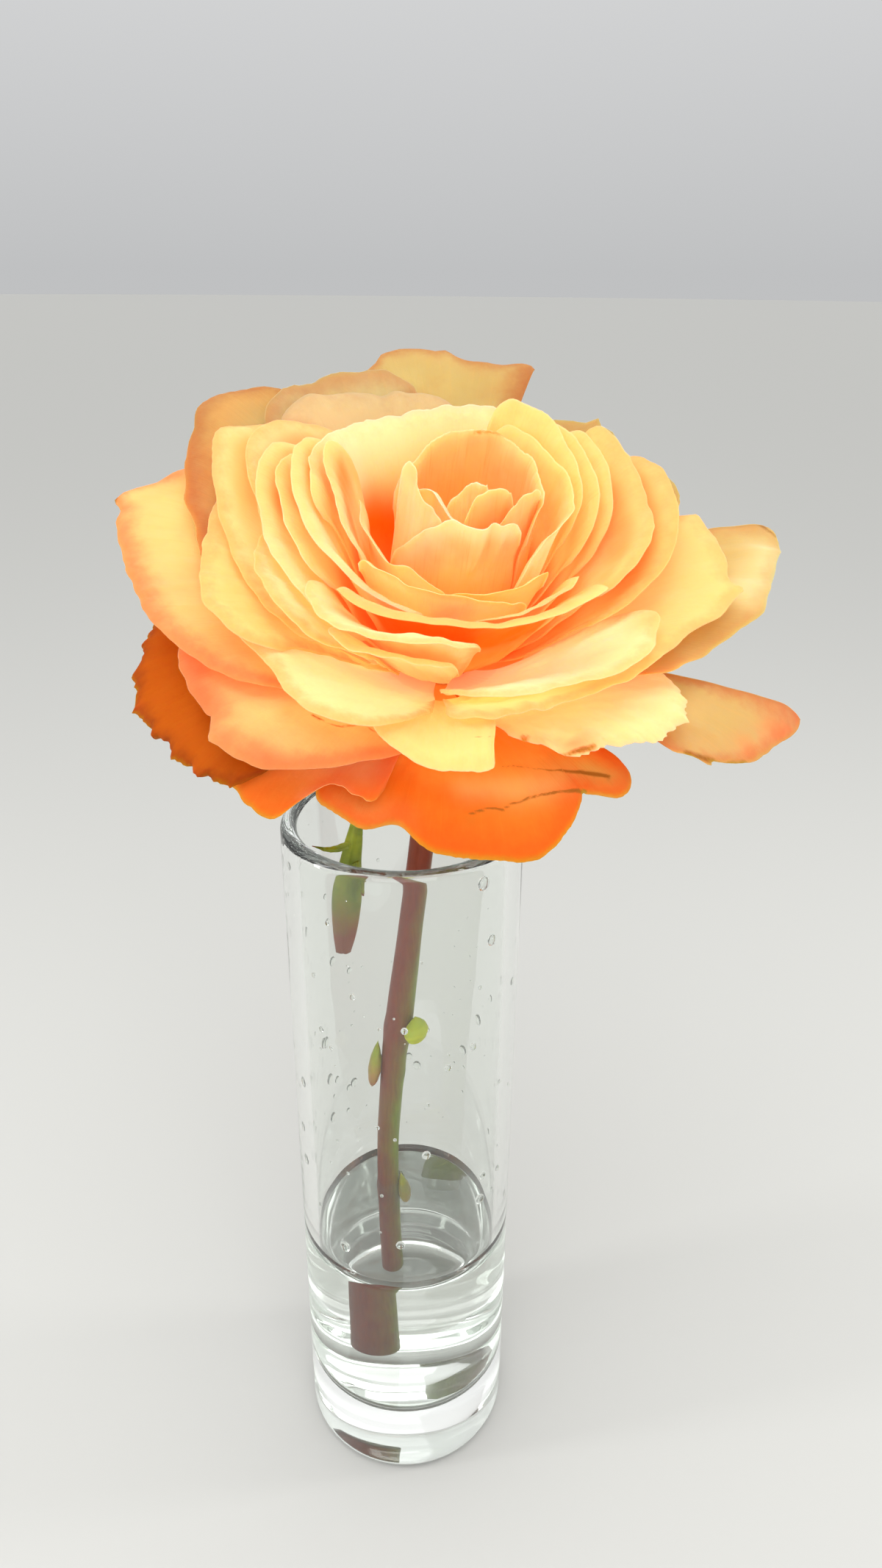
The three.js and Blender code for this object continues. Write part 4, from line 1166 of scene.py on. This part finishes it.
# painted shade in the marks below: the seat's orange laid in creases, in the hollows between the
# rings and over the ends that tuck under a neighbour, and over i_left's face
for name, layer, start, end, lengths, shape in (
    ("a_right", 0.265, 32, 165, [33, 38, 38, 38, 39],
     {"marks": [("pale", [(40, 33), (60, 35)], 5, 0.5)]}),
    ("a_left", 0.275, 275, 357, [37, 36, 33.5, 32, 30],
     {"marks": [("painted_shade", [(276, 32), (292, 31)], 7, 0.6),
                ("pale", [(305, 33), (345, 30)], 6, 0.5)]}),
    ("a_front", 0.325, 348, 420, [32, 34, 35, 34, 31], {}),
    ("b_right", 0.34, 92, 168, [33, 38, 40.5, 41.5, 42], {}),
    ("b_left", 0.345, 250, 308, [42, 43, 42, 40, 37],
     {"marks": [("painted_shade", [(252, 36), (284, 38)], 7, 0.7),
                ("pale", [(296, 36), (306, 34)], 6, 0.5)]}),
    ("b_front", 0.375, 310, 396, [38, 37, 36, 35, 32], {"pale": 0.3}),
    ("c_back", 0.39, 146, 292, [41, 39, 39, 42, 44],
     {"marks": [("pale", [(165, 36), (240, 38)], 10, 0.75),
                ("painted_shade", [(222, 20), (240, 24)], 7, 1.0)]}),
    ("c_right", 0.42, 85, 162, [32, 37, 39.5, 40.5, 41], {}),
    ("c_front", 0.43, 362, 422, [33, 35.5, 36, 36, 35], {}),
    ("d_left", 0.425, 236, 346, [39, 42, 44, 44.5, 43, 39.5, 36, 35.5, 39],
     {"curl": (45, 3.5), "corner": 6.0,
      "marks": [("painted_shade", [(240, 36), (268, 38)], 7, 0.65),
                ("pale", [(290, 36), (325, 33)], 7, 0.6)]}),
    ("d_front", 0.475, 316, 412, [42, 42, 39, 41, 43.5],
     {"curl": (48, 3.6),
      "marks": [
          ("olive", [(318, 41), (332, 41.5), (350, 39), (364, 38), (386, 38.6), (410, 39.5)],
           2.3, 0.7),
          ("painted_shade", [(325, 30), (400, 30)], 9, 1.3)]}),
    ("d_right", 0.49, 88, 142, [31, 36, 39, 41, 42],
     {"marks": [("painted_shade", [(100, 30), (138, 34)], 7, 0.4)]}),
    ("e_left", 0.51, 246, 304, [40, 42, 41, 39, 37],
     {"marks": [("painted_shade", [(248, 36), (268, 38)], 7, 0.65),
                ("pale", [(285, 36), (302, 33)], 6, 0.5)]}),
    ("e_low", 0.545, 300, 368, [38, 41.5, 44.5, 47.8, 47.5, 46, 41],
     {"blush": 0.6, "pale": 0.3, "corner": 9.0, "curl": (20, 3)}),
    ("e_right", 0.56, 66, 138, [37, 40, 41, 42.5, 44],
     {"blush": 0.6, "olive": 0.1, "marks": [("painted_shade", [(92, 34), (110, 37)], 6, 0.5)]}),
    ("f_left", 0.575, 232, 322, [38, 42.5, 42.5, 40.5, 39, 38, 33],
     {"curl": (40, 3.5),
      "marks": [("painted_shade", [(238, 38), (264, 38)], 7, 0.7),
                ("pale", [(285, 36), (320, 32)], 7, 0.5)]}),
    ("f_low", 0.6, 318, 362, [40, 40, 40, 38.5, 37, 34], {"corner": 7.0, "pale": 0.5}),
    ("f_right", 0.64, 62, 128, [33, 39.5, 43, 45, 45],
     {"olive": 0.2, "blush": 0.8, "marks": [("painted_shade", [(84, 34), (122, 38)], 8, 0.7)]}),
    ("g_left", 0.635, 214, 330, [36, 39.5, 44.8, 45, 41.5, 37, 38.8, 41.2, 41.2, 39.5, 34],
     {"pale": 0.35, "blush": 0.8,
      "marks": [("painted_shade", [(226, 38), (256, 39)], 6, 0.6),
                ("pale", [(290, 32), (325, 32)], 8, 0.4)]}),
    ("h_left", 0.7, 224, 312, [41, 44.8, 49.2, 46.6, 43, 40.2, 39, 38, 36.5],
     {"blush": 0.9, "pale": 0.2, "marks": [("painted_shade", [(232, 41), (248, 44), (260, 41)], 6, 0.6)]}),
    # painted light: the pale mark lightens h_front's face down into the hollow that the petals
    # above shade
    ("h_front", 0.7, -4, 70, [27, 36.3, 41.3, 40.3, 39.8, 40.5, 41.7, 40, 39.5],
     {"pale": 0.42, "blush": 0.6,
      "marks": [("olive", [(64, 38)], 3, 0.6),
                ("pale", [(-2, 27), (20, 26), (43, 16), (62, 20)], 10, 0.9)]}),
    ("i_left", 0.745, 254, 312, [43.5, 43, 42.8, 43.8, 45.7, 45.3, 42.5],
     {"blush": 0.9, "painted_shade": 0.22}),
    # painted light: the two pale marks lighten i_low's face where the petals above shade it
    ("i_low", 0.775, 298, 354, [42.3, 40.8, 40.2, 41.7, 43.8, 44.8, 42.3, 37.5, 30],
     {"blush": 0.85, "pale": 0.42,
      "marks": [("pale", [(300, 28), (342, 28)], 9, 0.4),
                ("pale", [(306, 15), (346, 15)], 9, 0.8)]}),
    # painted light: the pale mark lightens the left end of i_right, which lies in shade under
    # h_front
    ("i_right", 0.77, -2, 108, [32.5, 36.5, 35.4, 34.8, 36, 38.4, 39.5, 42.2, 47.2, 46.8, 46.4, 46],
     {"olive": 0.15, "blush": 0.6, "bumps": [(0.51, 1.2, 0.03)], "corner": 1.5,
      "marks": [("pale", [(-2, 28), (10, 30), (22, 32)], 7, 0.9)]}),
    ("front_square", 0.81, 337, 372, [34.5, 37.8, 41.8, 44.2, 45.4, 46.3, 46.6],
     {"corner": 0.6, "splay": (0, -5), "marks": [("brown", [(363, 37.5), (368, 39.4)], 0.4, 0.5)]}),
    ("right_ragged", 0.865, 18, 65, [31, 37, 39.5, 42.3, 43.5, 42, 38.5],
     {"ragged": 0.55, "nicks": 0.35, "grain": 0.5, "rosy": 0.06, "pale": 0.35,
      "marks": [("brown", [(19.5, 30.5), (18.5, 36)], 1.3, 0.7),
                ("brown", [(24, 36.5), (32, 38.3)], 0.8, 0.6),
                ("rosy", [(20, 34), (30, 36)], 3, 0.5)],
      "folds": [([(26, 38), (28, 33)], 0.7, 1.4), ([(33, 40), (33, 35)], -0.5, 1.2)]}),
):
    tissue = open_tissue if layer > OPEN_LAYER else ring_tissue
    petal(name, layer, start, end, lengths, tissue, "petal_cream", **shape)

# the two right-hand ones have dried a little: duller, and red or papery at the end. Part of
# their dull, darker colour is painted shade, as the right side of the bloom gets less light
dry_and_shaded_tissue = petal_tissue(
    "rose petal, dry and shaded cream", "#f08030", "#e4a45c", "#d4b478", "#bc9c64", "#c89458", "#b4502c",
    glow=0.04,
)
petal(
    "right_pale", 0.825, 55, 106, [37.5, 40.3, 43, 46, 50, 52.5, 54.3, 57, 59.5],
    dry_and_shaded_tissue, "petal_cream", corner=0.5, crumple=0.22, olive=0.42, ragged=0.4, curl=(0, 2),
    marks=[("pale", [(86, 48), (96, 54)], 4.5, 0.7), ("brown", [(103, 58), (107, 55)], 1.2, 0.5)],
    folds=[([(92, 40), (90, 54)], 0.8, 1.6), ([(98, 44), (97, 58)], -0.7, 1.4)],
)
petal(
    "right_low", 0.91, 48, 70, [43, 48.5, 52.6, 55.6, 61.8], dry_and_shaded_tissue, "petal_cream",
    corner=0.3, droop=0.0, splay=(0, 7.5), blush=0.7, curl=(0, 2), nicks=0.05, ragged=0.12,
    bumps=[(-0.66, 1.6, 0.06)],
    marks=[("rosy", [(77, 60.5), (69, 58), (60, 55)], 4.6, 1.15),
           ("olive", [(62, 46), (70, 48)], 5, 0.3),
           ("brown", [(50, 44.5), (54, 49.5), (58, 52)], 0.9, 0.6)],
)

# ---- petals at the back -------------------------------------------------------------
# Older guard petals behind the bloom, tan and faintly olive, with foxed brown margins.

# a streak over the back-left petal: faded green, with painted shade laid along it
FADED_AND_SHADED_STREAK = [(221, 52), (231, 54), (247, 50)]

back_tissue = petal_tissue(
    "rose petal, tan", "#dc7c34", "#d8a460", "#ceb274", "#b49c62", "#bc864a", "#944828",
    reach=7.0, glow=0.03,
)
for name, layer, start, end, lengths, shape in (
    ("g_back", 0.675, 174, 234, [39.5, 43.2, 43.7, 45.8, 47],
     {"blush": 0.4, "curl": (60, 5.0), "pale": 0.35}),
    ("back_right", 0.725, 104, 158, [43.5, 44.8, 45, 43.8, 44.8, 43.5, 41],
     {"olive": 0.25, "bumps": [(0.44, 1.4, 0.05)]}),
    ("back_inner", 0.75, 190, 236, [47, 48.8, 48.5, 49, 46],
     {"blush": 0.55, "pale": 0.2, "curl": (10, 2)}),
    ("back_left", 0.79, 216, 287, [47, 54.5, 57.1, 53.6, 50.1, 46.7, 42.9, 41, 39],
     {"blush": 0.9, "ragged": 0.4,
      "marks": [("olive", FADED_AND_SHADED_STREAK, 4.5, 0.3), ("painted_shade", FADED_AND_SHADED_STREAK, 6, 0.3)]}),
    ("back_top", 0.81, 164, 206, [58.5, 55, 55.5, 58.8, 59.3, 53, 49],
     {"blush": 0.8, "olive": 0.2, "corner": 0.6, "crumple": 0.2,
      "bumps": [(-0.14, 2.2, 0.07), (0.45, 1.3, 0.06)]}),
    ("back_low_right", 0.875, 120, 186, [40, 45, 46, 45, 40], {"blush": 0.8}),
    ("back_low_left", 0.9, 190, 256, [40, 45, 46, 45, 40], {"blush": 0.8}),
):
    petal(name, layer, start, end, lengths, back_tissue, "petal_tan", **shape)

# ---- outer petals at the left and front ---------------------------------------------
# The first petals to open, reflexed and hanging. They are the darkest coloured, from
# peach with a red margin to burnt orange; the burnt orange of the one that hangs behind
# the others at the left is painted shade.

# where the hanging petal has been creased, and has split along the crease
CRACK = [
    (365, 35.4), (369, 34.5), (372, 34.9), (375, 34.0), (379.5, 33.7), (385, 34.2), (391.5, 35.7)
]

peach_tissue = petal_tissue(
    "rose petal, peach", "#f47820", "#fca858", "#fdcc84", "#fab874", "#f6a068", "#e8502c",
    reach=7.0, glow=0.15,
)
petal(
    "left_pointed", 0.845, 240, 320, [46, 52, 56.3, 52.8, 50, 48, 44.5, 40, 33],
    peach_tissue, "petal_peach", bumps=[(-0.59, 3.6, 0.05)], blush=0.9,
    marks=[("brown", [(256.5, 59)], 1.6, 0.8)],
)
petal(
    "left_low", 0.885, 286, 350, [43, 43.8, 44.3, 45.3, 47.8, 46.3, 41.5, 36, 31.5],
    peach_tissue, "petal_peach", bumps=[(-0.21, -0.8, 0.015), (-0.09, 0.7, 0.04)], blush=0.8,
    marks=[
        ("brown", [(324, 33.6), (327.5, 33), (330.5, 32), (333.5, 29.4)], 0.42, 0.6),
        ("brown", [(337, 28.2), (342, 29.8)], 0.4, 0.55),
        ("rosy", [(292, 43), (306, 44)], 5, 0.3),
        ("rosy", [(302, 45), (318, 45.5), (328, 46.5), (346, 37)], 3.2, 0.9),
    ],
)
orange_tissue = petal_tissue(
    "rose petal, orange", "#d85a00", "#e08e34", "#e6923e", "#d07020", "#da6c18", "#d0400e",
    reach=9.0, glow=0.1,
)
petal(
    "front_left", 0.97, 302, 346, [41.5, 43, 44.2, 45.3, 46.3, 45.6, 38.4, 37.8, 38.8],
    orange_tissue, "petal_orange", blush=0.45, rolls=[(0.62, 0.3, -75, 2.2)],
    marks=[
        ("pale", [(333, 40.5), (337, 37.3), (343, 38.8)], 1.3, 0.3),
        ("pale", [(312, 36), (330, 33), (345, 29)], 5, 0.25),
        ("rosy", [(308, 42), (330, 43)], 4, 0.1),
    ],
)
petal(
    "front_hanging", 1.0, 332, 404,
    [39, 39.2, 40.6, 38.3, 41, 42.2, 42.8, 43.2, 42.3, 39.5, 36.5, 39.5, 38.5],
    orange_tissue, "petal_orange", bumps=[(0.64, -0.8, 0.02)], corner=2.5, blush=0.8, grain=0.42,
    marks=[
        ("brown", CRACK, 0.4, 0.62),
        ("brown", [(377, 25.4), (380.5, 26.2), (389, 30), (394, 32.4), (398, 35.4)], 0.35, 0.48),
        ("pale", [(366, 30), (374, 30.5), (390, 33)], 3.0, 0.15),
        ("olive", [(396, 35), (402, 38)], 4.5, 0.5),
        ("olive", [(388, 28), (392, 31), (400, 37)], 3.5, 0.35),
        ("brown", [(394, 33), (402, 38)], 4.0, 0.25),
        ("pale", [(336, 38), (349, 38)], 3.0, 0.12),
        ("olive", [(338, 38), (349, 38)], 3.0, 0.35),
    ],
    folds=[(CRACK, -0.4, 0.9), ([(366, 39), (391, 39)], 0.5, 3.0)],
)
# painted shade: the dark burnt orange stands for a petal that hangs in shadow behind the others
shaded_burnt_tissue = petal_tissue(
    "rose petal, shaded burnt orange", "#a44600", "#ae5000", "#b85c06", "#ae5406", "#a04a08", "#6c2206",
    glow=0.03,
)
petal(
    "left_burnt", 0.945, 272, 324, [43.5, 47, 49.2, 50.6, 49.8, 49.3, 46],
    shaded_burnt_tissue, "petal_burnt", scallops=(1.3, 5.4, 0.5), nicks=0.25, blush=0.9, grain=0.5,
    rolls=[(0.2, 0.14, 120, 2.0), (0.62, 0.1, 115, 1.8), (-0.55, 0.1, 110, 1.8)],
    marks=[("rosy", [(294, 50), (303, 51), (314, 49)], 1.0, 0.35)],
)
